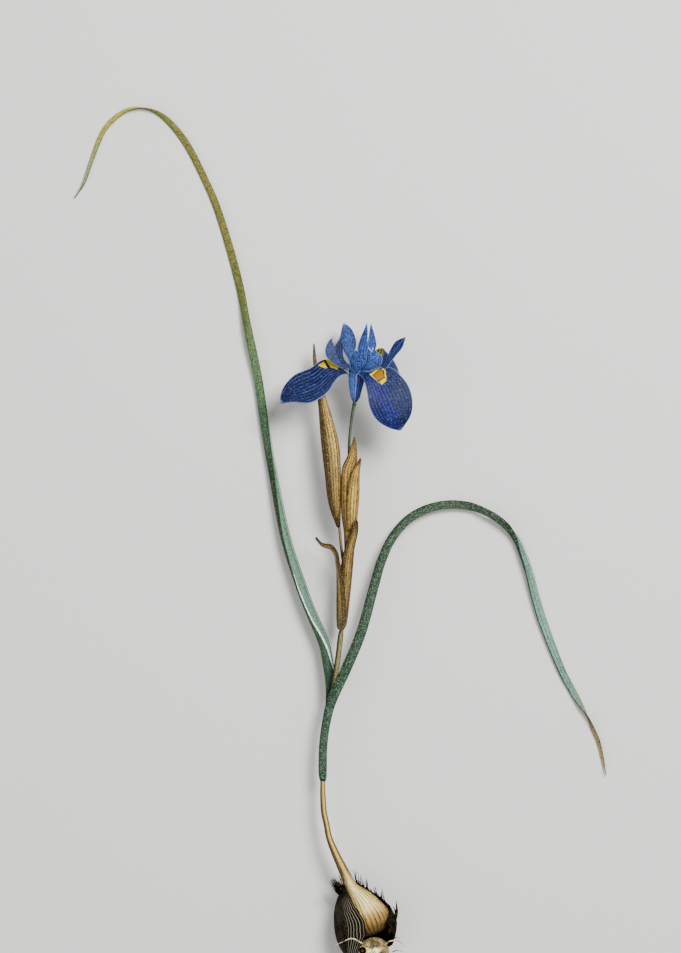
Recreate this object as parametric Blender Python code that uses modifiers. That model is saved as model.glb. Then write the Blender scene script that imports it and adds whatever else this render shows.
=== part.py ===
"""Barbary nut iris, lifted whole and laid on its back: corm, leaves, stem, spathes and one open flower.

Metres, +Z up. The plant lies on a flat surface at Z = 0 and grows along +Y. The origin is in the middle of
the flat spot under the bulb. Lengths below are millimetres, and every mesh is scaled to metres at the end.
"""
import math
import random

import bmesh
import bpy
from mathutils import Vector

MM = 0.001

# Driving dimensions of the bulb, in millimetres.
BULB_HEIGHT = 8.3
CORM_FLOOR = 2.5
TUNIC_WIDTH = 11.1
TUNIC_TOP = 14.6
TUNIC_BOTTOM = 15.5
TUNIC_DEPTH = 8.9
TUNIC_WALL = 0.6
TUNIC_LEAN = math.radians(24)
TUNIC_SWAY = 0.18
TUNIC_TAPER = 0.01
OLD_CORM_CENTRE = (2.8, -10.2, BULB_HEIGHT + 1.0)
OLD_CORM_SIZE = (5.6, 4.9, 5.3)

# Driving dimensions of what grows out of it.
BLADE = 0.6
FLOOR_GAP = 0.04
STEM_RADIUS = 1.0
STALK_RADIUS = 0.5
THROAT = Vector((-3.0, 192.5, 16.15))
CUP_LEAN = 0.07
CLAW_SPREAD = math.radians(20)
ROUND = 0.5
CLAW = ((-10.3, 1.15), (-9.2, 1.75), (-6.0, 2.4), (-3.4, 3.0), (-1.0, 3.25))

COLLECTION = "Barbary nut iris"


def clear_scene():
    for item in list(bpy.data.objects):
        bpy.data.objects.remove(item, do_unlink=True)


def parts_collection():
    found = bpy.data.collections.get(COLLECTION)
    if found is None:
        found = bpy.data.collections.new(COLLECTION)
        bpy.context.scene.collection.children.link(found)
    return found


def material(name, colour, roughness):
    made = bpy.data.materials.new(name)
    made.use_nodes = True
    shader = made.node_tree.nodes["Principled BSDF"]
    shader.inputs["Base Color"].default_value = (*colour, 1.0)
    shader.inputs["Roughness"].default_value = roughness
    shader.inputs["Metallic"].default_value = 0.0
    made.diffuse_color = (*colour, 1.0)
    return made


def add_object(name, mesh, look):
    mesh.materials.append(look)
    made = bpy.data.objects.new(name, mesh)
    parts_collection().objects.link(made)
    return made


def smooth_curve(points):
    """A smooth curve through points of any dimension, as a function of 0 to 1 along it."""
    points = [tuple(point) for point in points]
    size = len(points[0])
    reach = [math.dist(a[:3], b[:3]) for a, b in zip(points, points[1:])]
    total = sum(reach)
    knots = [sum(reach[:i]) / total for i in range(len(points))]
    slopes = []
    for i in range(len(points)):
        before, after = max(i - 1, 0), min(i + 1, len(points) - 1)
        span = knots[after] - knots[before]
        slopes.append([(points[after][k] - points[before][k]) / span for k in range(size)])

    def at(t):
        i = 0
        while i < len(points) - 2 and t > knots[i + 1]:
            i += 1
        width = knots[i + 1] - knots[i]
        s = (t - knots[i]) / width
        a, b = 2 * s**3 - 3 * s**2 + 1, s**3 - 2 * s**2 + s
        c, d = 3 * s**2 - 2 * s**3, s**3 - s**2
        return [
            a * points[i][k] + b * width * slopes[i][k] + c * points[i + 1][k] + d * width * slopes[i + 1][k]
            for k in range(size)
        ]

    return at


def blend(values, t):
    """A value read from evenly spaced ones, in straight steps."""
    place = min(max(t, 0.0), 1.0) * (len(values) - 1)
    i = min(int(place), len(values) - 2)
    return values[i] + (values[i + 1] - values[i]) * (place - i)


def sheet(name, look, rows, columns, place, thickness=BLADE):
    """A grid shaped by place(u, v), cut into triangles and thickened to a closed blade."""
    build = bmesh.new()
    bmesh.ops.create_grid(build, x_segments=rows, y_segments=columns, size=0.5)
    bmesh.ops.triangulate(build, faces=build.faces[:], quad_method="FIXED")
    for vert in build.verts:
        vert.co = Vector(place(vert.co.x + 0.5, vert.co.y + 0.5)) * MM
    mesh = bpy.data.meshes.new(name)
    build.to_mesh(mesh)
    build.free()
    made = add_object(name, mesh, look)
    solid = made.modifiers.new("Thickness", "SOLIDIFY")
    solid.thickness = thickness * MM
    solid.offset = 0.0
    solid.use_even_offset = False
    mesh.shade_smooth()
    return made


def blade(name, look, left, right, rows, columns, bulge, notch=0.0, origin=(0, 0, 0), arch=1.0):
    """A petal or bract between two edge curves, arched across by the bulge and notched at its end."""
    near, far, origin = smooth_curve(left), smooth_curve(right), Vector(origin)

    def place(u, v):
        u *= 1.0 - notch * (1.0 - abs(2.0 * v - 1.0)) ** 2
        a, b = Vector(near(u)), Vector(far(u))
        ahead, behind = min(u + 0.02, 1.0), max(u - 0.02, 0.0)
        along = (Vector(near(ahead)) + Vector(far(ahead))) - (Vector(near(behind)) + Vector(far(behind)))
        across = b - a
        face = across.cross(along)
        lift = blend(bulge, u) * (4 * v * (1 - v)) ** arch
        if face.length > 1e-6:
            face.normalize()
        return origin + a + across * v + face * lift

    return sheet(name, look, rows, columns, place)


def channel(name, look, stations, rows, columns):
    """A long channelled leaf. A station is x, y, clearance under it, half width, depth, wrap and roll."""
    path = smooth_curve(stations)

    def section(u):
        x, y, clearance, half, depth, wrap, roll = path(u)
        ahead, behind = path(min(u + 0.004, 1.0)), path(max(u - 0.004, 0.0))
        tangent = Vector((ahead[0] - behind[0], ahead[1] - behind[1], 0)).normalized()
        side = Vector((tangent.y, -tangent.x, 0))
        turned = side * math.cos(math.radians(roll)) + Vector((0, 0, 1)) * math.sin(math.radians(roll))
        back = side * math.sin(math.radians(roll)) - Vector((0, 0, 1)) * math.cos(math.radians(roll))
        wrap = math.radians(wrap)
        reach = math.sin(min(wrap, math.pi / 2))

        def offset(v):
            angle = wrap * (2 * v - 1)
            return turned * half * math.sin(angle) / reach + back * depth * (math.cos(angle) - 1)

        lowest = min(offset(i / 8).z for i in range(9))
        return Vector((x, y, clearance + FLOOR_GAP + BLADE / 2 - lowest)), offset

    def place(u, v):
        centre, offset = section(u)
        return centre + offset(v)

    return sheet(name, look, rows, columns, place)


def tube(name, look, points, steps, sides=3, origin=(0, 0, 0)):
    """A round stem through points of x, y, z and radius, as a bevelled curve with its ends filled."""
    path = smooth_curve(points)
    curve = bpy.data.curves.new(name, "CURVE")
    curve.dimensions = "3D"
    curve.bevel_depth = MM
    curve.bevel_resolution = sides
    curve.use_fill_caps = True
    line = curve.splines.new("POLY")
    line.points.add(steps)
    for i in range(steps + 1):
        x, y, z, radius = path(i / steps)
        line.points[i].co = (*((Vector((x, y, z)) + Vector(origin)) * MM), 1.0)
        line.points[i].radius = radius
    return add_object(name, curve, look)


def as_mesh(made):
    """The same object as a plain closed mesh, with a curve's loose caps welded on."""
    depsgraph = bpy.context.evaluated_depsgraph_get()
    mesh = bpy.data.meshes.new_from_object(made.evaluated_get(depsgraph))
    build = bmesh.new()
    build.from_mesh(mesh)
    bmesh.ops.remove_doubles(build, verts=build.verts[:], dist=0.001 * MM)
    build.to_mesh(mesh)
    build.free()
    name, matrix = made.name, made.matrix_world.copy()
    bpy.data.objects.remove(made, do_unlink=True)
    fresh = bpy.data.objects.new(name, mesh)
    parts_collection().objects.link(fresh)
    fresh.matrix_world = matrix
    return fresh


def fuse(body, pieces, solver="MANIFOLD"):
    """Joins the pieces to the body in one Boolean union, and removes them."""
    group = bpy.data.collections.new(body.name + " repeats")
    bpy.context.scene.collection.children.link(group)
    for piece in pieces:
        parts_collection().objects.unlink(piece)
        group.objects.link(piece)
    join = body.modifiers.new("Join", "BOOLEAN")
    join.operation = "UNION"
    join.operand_type = "COLLECTION"
    join.collection = group
    join.solver = solver
    depsgraph = bpy.context.evaluated_depsgraph_get()
    joined = bpy.data.meshes.new_from_object(body.evaluated_get(depsgraph))
    body.modifiers.clear()
    body.data = joined
    for piece in list(group.objects):
        bpy.data.objects.remove(piece, do_unlink=True)
    bpy.data.collections.remove(group)
    return body


def swept_ball(name, look, segments, rings, place):
    """A sphere whose points are moved by place(s, angle): s runs from 0 at its foot to 1 at its tip."""
    build = bmesh.new()
    bmesh.ops.create_uvsphere(build, u_segments=segments, v_segments=rings, radius=1.0)
    for vert in build.verts:
        s = 1.0 - math.acos(max(-1.0, min(1.0, vert.co.z))) / math.pi
        angle = math.atan2(vert.co.y, vert.co.x)
        vert.co = Vector(place(s, angle)) * MM
    mesh = bpy.data.meshes.new(name)
    build.to_mesh(mesh)
    build.free()
    mesh.shade_smooth()
    return add_object(name, mesh, look)


def needle(name, look, root, tip, radius, bend, segments=3):
    """One tapering bristle from its root to its tip, bowed sideways by the bend."""
    root, tip = Vector(root), Vector(tip)
    middle = (root + tip) / 2 + Vector(bend)
    points = [(*root, radius), (*middle, radius * 0.7), (*tip, radius * 0.2)]
    return tube(name, look, points, segments, sides=0)


# The bulb.

# Points up the middle of the corm and its neck: x, y, height and radius.
CORM_SPINE = (
    (3.3, -4.6, 8.3, 0.5),
    (3.0, -3.9, 8.3, 4.9),
    (2.3, -2.2, 8.3, 6.8),
    (1.7, -0.4, 8.3, 7.6),
    (0.7, 2.0, 8.3, 7.4),
    (-0.5, 4.6, 8.3, 6.3),
    (-1.9, 7.3, 8.4, 5.0),
    (-3.7, 10.0, 8.5, 3.4),
    (-5.1, 12.2, 8.6, 2.3),
    (-7.3, 17.1, 8.8, 1.7),
    (-9.3, 21.3, 8.9, 1.5),
    (-11.2, 25.5, 8.9, 1.3),
    (-12.8, 29.7, 8.8, 1.1),
    (-13.6, 33.9, 8.7, 1.05),
    (-14.5, 38.1, 8.5, 1.05),
    (-14.9, 43.0, 8.4, 1.05),
    (-15.0, 48.7, 8.3, 0.9),
)
CORM_RIBS = 20
CORM_RIB_DEPTH = 0.05
CORM_RINGS = 24


def make_corm(look):
    """The pale corm with its ribs, drawn out into the long neck that the old leaf bases make."""
    path = smooth_curve(CORM_SPINE)
    bulb_share = 0.36
    half = CORM_RINGS // 2

    def place(s, angle):
        ring = round(s * CORM_RINGS)
        if ring < half:
            t = bulb_share * ring / half
        else:
            t = min(1.0, bulb_share + (1 - bulb_share) * (ring - half) / (half - 1))
        x, y, z, radius = path(t)
        ahead, behind = path(min(t + 0.01, 1.0)), path(max(t - 0.01, 0.0))
        along = (Vector(ahead[:3]) - Vector(behind[:3])).normalized()
        side = Vector((0, 0, 1)).cross(along).normalized()
        up = along.cross(side)
        fullness = min(1.0, max(0.0, (radius - 1.5) / 3.0))
        radius *= 1.0 + CORM_RIB_DEPTH * fullness * (math.cos(CORM_RIBS * angle) - 1.0) / 2
        if ring in (0, CORM_RINGS):
            radius = 0.0
        point = Vector((x, y, z)) + side * radius * math.cos(angle) + up * radius * math.sin(angle)
        point.z = max(point.z, CORM_FLOOR)
        return point

    return swept_ball("corm", look, CORM_RIBS * 2, CORM_RINGS, place)


# Edges of the window in the tunic: degrees down from its mouth, and degrees round from its right side.
TUNIC_WINDOW_LEFT = (106, 99, 95, 91, 96, 134, 140)
TUNIC_WINDOW_RIGHT = (-78, -72, -56, -18, 50, 30, 4)
TUNIC_MOUTH = 25
TUNIC_FOOT = 146
TUNIC_RIDGE = 0.25
THORN = ((7.6, -4.5, 12.6, 0.6), (9.6, -0.6, 12.0, 0.75), (10.9, 3.4, 11.0, 0.55), (10.7, 7.6, 10.2, 0.15))
BRISTLES = 22
MOUTH_SHARE = 0.6


def tunic_point(down, around, inset=0.0):
    """A point on the tunic's skin: degrees down from its mouth, degrees round, and depth into its wall."""
    down, around = math.radians(down), math.radians(around)
    x, y, z = math.sin(down) * math.cos(around), math.cos(down), math.sin(down) * math.sin(around)
    x, y = (
        x * math.cos(TUNIC_LEAN) - y * math.sin(TUNIC_LEAN),
        x * math.sin(TUNIC_LEAN) + y * math.cos(TUNIC_LEAN),
    )
    tall = TUNIC_TOP if y > 0 else TUNIC_BOTTOM
    x, y = x * (TUNIC_WIDTH - inset), y * (tall - inset)
    above = max(y, 0.0)
    x = x * (1 - TUNIC_TAPER * above) - TUNIC_SWAY * above
    return Vector((x, y, BULB_HEIGHT + z * (TUNIC_DEPTH - inset)))


def make_tunic(look):
    """The dark fibrous coat: a shell with a torn window in front and bristles round its mouth."""
    rows, columns = 14, 30

    def place(u, v):
        down = TUNIC_MOUTH + (TUNIC_FOOT - TUNIC_MOUTH) * u
        start = blend(TUNIC_WINDOW_LEFT, u)
        end = 360 + blend(TUNIC_WINDOW_RIGHT, u)
        ridge = TUNIC_RIDGE if round(v * columns) % 2 else 0.0
        point = tunic_point(down, start + (end - start) * v, TUNIC_WALL / 2 + ridge)
        point.z = max(point.z, TUNIC_WALL / 2)
        return point

    tunic = sheet("tunic", look, rows, columns, place, TUNIC_WALL)
    tunic = as_mesh(tunic)
    for vert in tunic.data.vertices:
        if vert.co.z < 0.1 * MM:
            vert.co.z = 0.0
    draw = random.Random(7)
    bristles = [as_mesh(tube("thorn", look, THORN, 8, sides=1))]
    for i in range(BRISTLES):
        share = i / (BRISTLES - 1)
        along_edge = max(0.0, share - MOUTH_SHARE) / (1 - MOUTH_SHARE)
        down = TUNIC_MOUTH + 6 + 40 * along_edge
        if along_edge:
            edge = blend(TUNIC_WINDOW_RIGHT, (down - TUNIC_MOUTH) / (TUNIC_FOOT - TUNIC_MOUTH))
            around = edge - 8
        else:
            around = 125 + 148 * share / MOUTH_SHARE + draw.uniform(-3, 3)
        root = tunic_point(down, around, TUNIC_WALL / 2)
        lip = tunic_point(down - 6, around, TUNIC_WALL / 2)
        course = Vector((0.55 * share - 0.75 + draw.uniform(-0.1, 0.1), 1.0, draw.uniform(-0.15, 0.0)))
        tip = lip + course.normalized() * draw.uniform(3.0, 6.0)
        bend = (draw.uniform(-0.3, 0.3), 0, draw.uniform(-0.2, 0.2))
        bristles.append(as_mesh(needle("bristle", look, root, tip, 0.27, bend)))
    return fuse(tunic, bristles)


def make_old_corm(look):
    """Last year's shrunken corm under the new one, with its scar, and the roots that grow at its rim."""
    centre, size = Vector(OLD_CORM_CENTRE), OLD_CORM_SIZE

    def place(s, angle):
        tall, out = -math.cos(math.pi * s), math.sin(math.pi * s)
        wrinkle = 1.0 - 0.05 * out * (0.5 + 0.5 * math.cos(9 * angle + 5 * s)) - 0.03 * math.cos(11 * s)
        x, z = out * math.cos(angle) * wrinkle, -out * math.sin(angle) * wrinkle
        return centre + Vector((x * size[0], tall * size[1], z * size[2]))

    body = swept_ball("old_corm", look, 24, 14, place)
    routes = (
        ((1.6, -8.2, 12.6), (-0.6, -7.6, 16.8), (-4.6, -5.6, 17.4), (-8.0, -6.9, 14.4), (-10.6, -8.2, 9.6)),
        ((6.4, -8.4, 11.2), (8.6, -6.6, 14.4), (11.6, -6.6, 14.0), (14.0, -9.2, 10.6)),
        ((0.5, -13.0, 9.5), (-2.4, -18.6, 9.2), (-5.6, -23.4, 6.6)),
        ((2.6, -14.0, 7.0), (2.2, -19.6, 4.6), (0.6, -26.6, 2.4)),
        ((5.4, -13.4, 10.0), (7.6, -18.4, 9.0), (8.4, -23.8, 5.4)),
        ((3.6, -13.9, 11.0), (4.4, -18.6, 11.8), (4.0, -23.0, 9.6)),
    )
    roots = []
    for number, route in enumerate(routes):
        radii = [0.5 - 0.32 * i / (len(route) - 1) for i in range(len(route))]
        points = [(*point, radius) for point, radius in zip(route, radii)]
        roots.append(as_mesh(tube(f"root {number}", look, points, 9, sides=1)))
    return fuse(body, roots)


# The leaves. A station is x, y, clearance, half width, depth, wrap and roll.

LEAF_LEFT = (
    (-14.9, 58.0, 6.55, 0.35, 0.1, 50, 0),
    (-14.7, 64.0, 6.5, 0.5, 0.15, 55, 0),
    (-14.0, 70.0, 6.3, 0.75, 0.4, 70, 0),
    (-12.6, 76.0, 5.9, 1.25, 0.9, 85, 0),
    (-12.2, 82.5, 5.3, 1.75, 1.4, 85, -6),
    (-13.3, 90.0, 4.4, 1.8, 1.4, 75, -14),
    (-14.9, 97.5, 3.6, 1.9, 1.4, 72, -22),
    (-20.4, 109.5, 2.6, 2.05, 1.7, 80, -38),
    (-23.75, 118.0, 2.1, 2.15, 1.9, 84, -42),
    (-29.3, 134.8, 1.4, 1.9, 2.1, 90, -50),
    (-34.3, 160.0, 0.8, 1.2, 2.4, 92, -70),
    (-36.75, 174.5, 0.6, 0.95, 2.7, 92, -85),
    (-38.8, 189.3, 0.4, 0.9, 2.7, 90, -94),
    (-42.0, 206.0, 0.2, 1.55, 2.3, 80, -122),
    (-44.3, 223.0, 0.1, 1.45, 0.8, 55, -150),
    (-51.4, 248.1, 0.0, 1.25, 0.7, 52, -158),
    (-56.7, 260.8, 0.0, 1.15, 0.7, 50, -160),
    (-63.3, 273.3, 0.0, 1.15, 0.6, 50, -160),
    (-70.5, 281.6, 0.0, 1.1, 0.6, 50, -140),
    (-76.5, 284.6, 0.0, 1.0, 0.5, 50, -100),
    (-82.4, 284.6, 0.0, 1.0, 0.5, 50, -60),
    (-87.7, 281.6, 0.1, 1.0, 0.5, 48, -40),
    (-92.0, 276.6, 0.2, 0.85, 0.4, 45, -30),
    (-96.2, 266.0, 0.3, 0.6, 0.3, 45, -25),
    (-98.8, 258.6, 0.4, 0.45, 0.2, 40, -20),
    (-102.0, 253.4, 0.5, 0.3, 0.1, 40, -20),
)

LEAF_RIGHT = (
    (-14.9, 49.2, 7.34, 0.95, 1.0, 128, 180),
    (-15.0, 52.5, 7.13, 1.3, 1.35, 128, 180),
    (-14.9, 60.0, 7.19, 1.3, 1.35, 125, 180),
    (-14.4, 65.5, 7.5, 1.3, 1.3, 115, 180),
    (-13.6, 70.5, 8.15, 1.35, 1.15, 100, 180),
    (-12.3, 76.0, 8.94, 1.5, 0.95, 82, 180),
    (-10.3, 81.0, 9.65, 1.6, 0.85, 68, 180),
    (-6.8, 88.5, 9.8, 1.65, 0.8, 55, 180),
    (-1.6, 101.1, 8.8, 1.65, 0.9, 56, 180),
    (3.1, 117.9, 7.0, 1.55, 0.9, 58, 180),
    (5.6, 126.3, 6.0, 1.45, 0.9, 58, 180),
    (9.6, 134.8, 5.0, 1.4, 0.9, 58, 180),
    (16.6, 142.1, 3.9, 1.35, 0.9, 58, 178),
    (26.1, 145.7, 2.8, 1.35, 0.9, 58, 174),
    (35.9, 145.5, 1.8, 1.35, 0.9, 60, 165),
    (43.1, 142.0, 1.2, 1.4, 1.8, 80, 125),
    (48.65, 137.7, 0.8, 1.3, 2.2, 88, 95),
    (51.75, 133.85, 0.5, 1.4, 2.0, 88, 70),
    (54.0, 129.2, 0.3, 1.5, 1.7, 84, 52),
    (56.8, 121.95, 0.2, 1.6, 1.4, 76, 40),
    (59.2, 113.7, 0.1, 1.55, 1.1, 66, 30),
    (61.8, 105.3, 0.0, 1.5, 1.0, 64, 24),
    (68.4, 88.5, 0.0, 1.2, 0.8, 60, 18),
    (72.8, 80.1, 0.0, 1.05, 0.7, 58, 18),
    (75.2, 75.9, 0.0, 1.0, 0.7, 58, 40),
    (77.6, 71.8, 0.0, 0.95, 0.6, 56, 90),
    (79.6, 67.4, 0.1, 0.8, 0.5, 52, 135),
    (81.6, 63.0, 0.3, 0.6, 0.4, 50, 150),
    (83.4, 56.0, 0.6, 0.4, 0.2, 45, 160),
    (84.4, 51.2, 0.9, 0.3, 0.1, 40, 160),
)


# The stem and what it carries.

STEM = (
    (-14.6, 63.5, 8.1, 0.45),
    (-13.8, 70.0, 7.95, 0.55),
    (-12.4, 76.0, 8.1, 0.75),
    (-10.9, 84.3, 8.6, 0.95),
    (-9.6, 92.8, 8.6, STEM_RADIUS),
    (-8.7, 100.2, 8.6, STEM_RADIUS),
    (-8.4, 102.2, 8.6, 0.75),
    (-8.0, 105.0, 8.7, 0.65),
    (-7.3, 112.7, 9.0, 0.65),
    (-6.8, 121.4, 9.6, 0.7),
    (-6.1, 129.3, 10.4, 0.6),
)
BRANCH = (
    (-6.9, 119.6, 9.4, 0.55),
    (-7.6, 124.5, 9.8, 0.55),
    (-8.4, 130.5, 10.2, 0.55),
    (-9.1, 137.4, 10.6, 0.55),
)
FLOWER_STALK = (
    (-6.1, 129.8, 10.5, 0.45),
    (-5.6, 136.0, 11.1, 0.6),
    (-5.4, 142.0, 11.7, 0.65),
    (-5.3, 148.0, 12.3, 0.6),
    (-5.4, 155.0, 13.1, STALK_RADIUS),
    (-5.8, 163.0, 14.0, STALK_RADIUS),
    (-5.6, 169.0, 14.7, STALK_RADIUS),
    (-4.9, 175.7, 15.5, STALK_RADIUS),
    (-4.0, 180.0, 16.0, 0.6),
    (-3.8, 180.9, 16.1, 1.0),
    (-3.75, 181.4, 16.1, 1.2),
    (-3.72, 181.7, 16.1, 0.8),
    (-3.72, 182.2, 16.1, 0.4),
)


def make_stem(look):
    stem = as_mesh(tube("stem", look, STEM, 30))
    branch = as_mesh(tube("branch", look, BRANCH, 8))
    return fuse(stem, [branch])


SPATHE_LEFT = (
    ((-10.0, 138.2, 10.4), (-12.8, 146.3, 11.0), (-14.2, 157.1, 11.4), (-15.6, 169.4, 11.2),
     (-16.6, 182.7, 10.2), (-17.8, 191.4, 9.0), (-18.3, 197.4, 8.0), (-18.15, 202.8, 7.2)),
    ((-8.9, 138.2, 10.4), (-8.9, 146.3, 11.0), (-9.0, 157.1, 11.4), (-9.5, 166.6, 11.2),
     (-11.4, 175.3, 10.8), (-14.2, 184.3, 10.0), (-16.6, 192.0, 8.9), (-17.3, 197.4, 8.0), (-17.95, 202.8, 7.2)),
)
SPATHE_INNER = (
    ((-7.3, 130.2, 9.6), (-7.4, 136.0, 10.2), (-8.1, 143.0, 11.0), (-8.2, 151.2, 12.0),
     (-7.6, 158.9, 13.0), (-6.2, 163.2, 15.3), (-4.8, 167.2, 16.2), (-3.85, 170.6, 16.8)),
    ((-4.8, 130.2, 9.6), (-4.0, 137.0, 10.2), (-3.6, 143.0, 11.0), (-3.2, 151.0, 12.2),
     (-3.0, 158.0, 13.0), (-3.0, 162.5, 14.3), (-3.2, 166.6, 15.9), (-3.65, 170.6, 16.7)),
)
SPATHE_OUTER = (
    ((-6.4, 137.5, 13.8), (-6.6, 143.0, 14.6), (-6.4, 149.4, 15.7), (-5.6, 154.7, 16.3),
     (-4.4, 158.2, 16.6), (-2.8, 160.8, 16.8), (-1.75, 162.8, 17.0)),
    ((-3.4, 137.5, 12.2), (-2.8, 143.0, 12.9), (-2.3, 149.0, 13.6), (-2.2, 154.0, 14.4),
     (-2.1, 157.6, 15.2), (-1.8, 160.2, 16.2), (-1.55, 162.8, 16.9)),
)
BRACT_MIDDLE = (
    ((-9.5, 103.0, 8.0), (-9.0, 112.7, 8.2), (-8.7, 121.0, 10.0), (-8.3, 126.2, 12.2),
     (-7.1, 131.2, 13.4), (-5.2, 136.4, 15.0), (-3.8, 140.8, 15.8)),
    ((-6.5, 103.0, 8.0), (-5.6, 112.7, 8.2), (-4.8, 121.4, 8.9), (-3.9, 130.9, 11.6),
     (-2.7, 136.5, 13.6), (-2.7, 140.8, 15.4)),
)
BRACT_LOWER = (
    ((-10.3, 103.2, 8.6), (-10.0, 113.0, 8.8), (-9.9, 122.8, 9.4), (-10.4, 127.8, 10.0),
     (-12.1, 130.4, 10.2), (-15.2, 131.5, 10.0), (-17.6, 134.4, 9.6)),
    ((-7.0, 103.2, 11.7), (-7.0, 112.7, 12.1), (-7.6, 119.7, 13.0), (-8.8, 125.6, 13.6),
     (-9.7, 129.6, 13.2), (-11.8, 132.0, 12.0), (-15.0, 132.6, 10.6), (-17.2, 134.7, 10.0)),
)


# The flower, in millimetres from its throat: +X to the right, +Y up, +Z to the viewer.
# Each outline is its left edge and its right edge, from the throat to the tip.

FALL_LEFT = (
    ((-4.6, 0.6, -1.9), (-7.4, 3.4, -3.0), (-11.9, 4.1, -4.0), (-16.1, 1.4, -4.4), (-21.7, -1.0, -3.6),
     (-25.2, -4.6, -2.2), (-26.6, -8.0, -0.6), (-26.9, -10.8, 0.9)),
    ((-4.6, -0.9, 1.5), (-6.3, -1.8, 2.6), (-8.0, -3.8, 3.6), (-9.9, -6.7, 4.5), (-12.6, -9.1, 4.9),
     (-16.8, -10.9, 4.7), (-22.7, -10.6, 3.0), (-26.5, -11.1, 1.3)),
)
FALL_FRONT = (
    ((1.3, -1.4, 4.8), (2.2, -2.4, 6.6), (2.9, -4.4, 8.0), (3.5, -7.2, 8.8), (4.5, -12.6, 9.0),
     (7.0, -16.9, 8.4), (11.5, -19.7, 7.2), (15.0, -20.5, 6.5)),
    ((5.5, 0.0, 3.0), (10.2, 1.1, 4.0), (13.4, 0.2, 4.8), (17.4, -4.0, 5.8), (19.2, -9.0, 6.4),
     (18.9, -14.7, 6.6), (15.5, -20.2, 6.5)),
)
FALL_BACK = (
    ((2.4, 2.0, -5.6), (5.5, 6.8, -8.6), (8.9, 8.2, -10.6), (10.6, 5.0, -13.0), (9.8, -1.0, -15.0),
     (8.6, -6.0, -15.6), (9.6, -9.4, -15.7)),
    ((5.2, 0.6, -3.6), (8.4, 1.6, -4.8), (11.8, 1.4, -6.0), (14.6, -0.4, -7.8), (14.9, -4.0, -10.2),
     (13.4, -7.8, -13.2), (10.2, -9.9, -15.5)),
)
STANDARD_BACK = (
    ((-2.8, 3.7, -2.7), (-4.6, 7.1, -3.7), (-5.3, 9.9, -4.6), (-5.7, 13.0, -5.6), (-4.9, 16.9, -6.8)),
    ((-0.7, 4.0, -4.2), (-0.6, 8.0, -5.6), (-0.4, 11.0, -6.7), (-1.9, 14.9, -7.3), (-4.5, 17.1, -7.4)),
)
STANDARD_FRONT = (
    ((-1.6, 0.2, 4.0), (-2.2, 1.7, 6.0), (-2.6, 4.2, 8.6), (-1.9, 6.3, 10.6), (-0.7, 7.9, 12.0)),
    ((0.5, 0.2, 4.3), (1.8, 1.7, 6.1), (2.1, 3.9, 8.4), (1.0, 6.3, 10.6), (-0.3, 7.9, 12.0)),
)
STANDARD_RIGHT = (
    ((5.4, -0.2, -1.8), (9.2, 1.9, -1.8), (10.6, 4.9, -1.6), (11.5, 7.4, -1.4), (13.5, 10.6, -1.0),
     (15.6, 11.7, -0.4), (16.7, 12.1, 0.0)),
    ((5.9, -0.9, 0.6), (10.2, 1.2, 0.4), (11.9, 3.5, 0.6), (13.8, 6.0, 0.8), (15.8, 8.5, 0.8),
     (16.7, 11.0, 0.4), (17.0, 12.0, 0.1)),
)
STYLE_COLUMN = ((-0.7, -9.8, 0, 0.25), (-0.4, -6, 0, 0.35), (-0.1, -1.4, 0, 0.6), (0, -0.9, 0, 0.4))
STYLE_LEFT = (
    ((-0.3, -1.6, 0.3), (-2.4, 0.8, 0.7), (-6.7, 2.0, 1.2), (-10.4, 4.9, 0.8), (-11.1, 6.8, 0.4),
     (-10.9, 8.7, -0.2), (-9.8, 10.8, -0.8), (-8.3, 12.3, -1.4)),
    ((-0.3, -1.6, -0.3), (-1.8, 1.4, -0.6), (-4.0, 3.6, -1.3), (-4.9, 6.0, -2.0), (-4.9, 9.6, -2.8),
     (-5.5, 12.0, -3.2), (-5.8, 13.1, -3.4)),
)
STYLE_FRONT = (
    ((-0.1, -1.6, 0.4), (1.4, 1.0, 2.5), (3.0, 2.9, 5.0), (3.5, 6.3, 7.0), (4.0, 8.7, 8.0)),
    ((0.4, -1.6, 0.1), (2.4, 1.2, 2.2), (5.3, 1.4, 5.2), (8.1, 2.5, 6.4), (8.8, 4.0, 7.0), (8.6, 5.5, 7.3),
     (7.0, 6.8, 7.7), (5.8, 8.0, 8.0), (5.5, 8.7, 8.1)),
)
STYLE_BACK = (
    ((-0.1, -1.6, -0.4), (0.8, 1.8, -2.2), (1.0, 5.0, -3.6), (0.3, 7.8, -4.4), (1.0, 11.0, -5.4),
     (2.9, 15.6, -6.7), (3.5, 17.2, -7.0)),
    ((0.4, -1.6, -0.1), (2.6, 1.6, -1.4), (5.2, 4.8, -2.2), (6.5, 8.0, -3.2), (6.8, 10.0, -4.2),
     (5.6, 14.9, -6.1), (4.8, 17.0, -6.8)),
)


def claw_edge(angle):
    """The narrow foot of a petal, up the side of the cup at an angle round the flower."""
    return [
        (radius * math.cos(angle) + CUP_LEAN * height, height, radius * math.sin(angle))
        for height, radius in CLAW
    ]


def petal(name, look, angle, outline, turn, rows, bulge):
    """A petal whose claw stands in the cup at the angle. turn says which way round its left edge lies."""
    angle = math.radians(angle)
    left = claw_edge(angle + turn * CLAW_SPREAD) + list(outline[0])
    right = claw_edge(angle - turn * CLAW_SPREAD) + list(outline[1])
    return blade(name, look, left, right, rows, 6, bulge, origin=THROAT)


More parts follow.
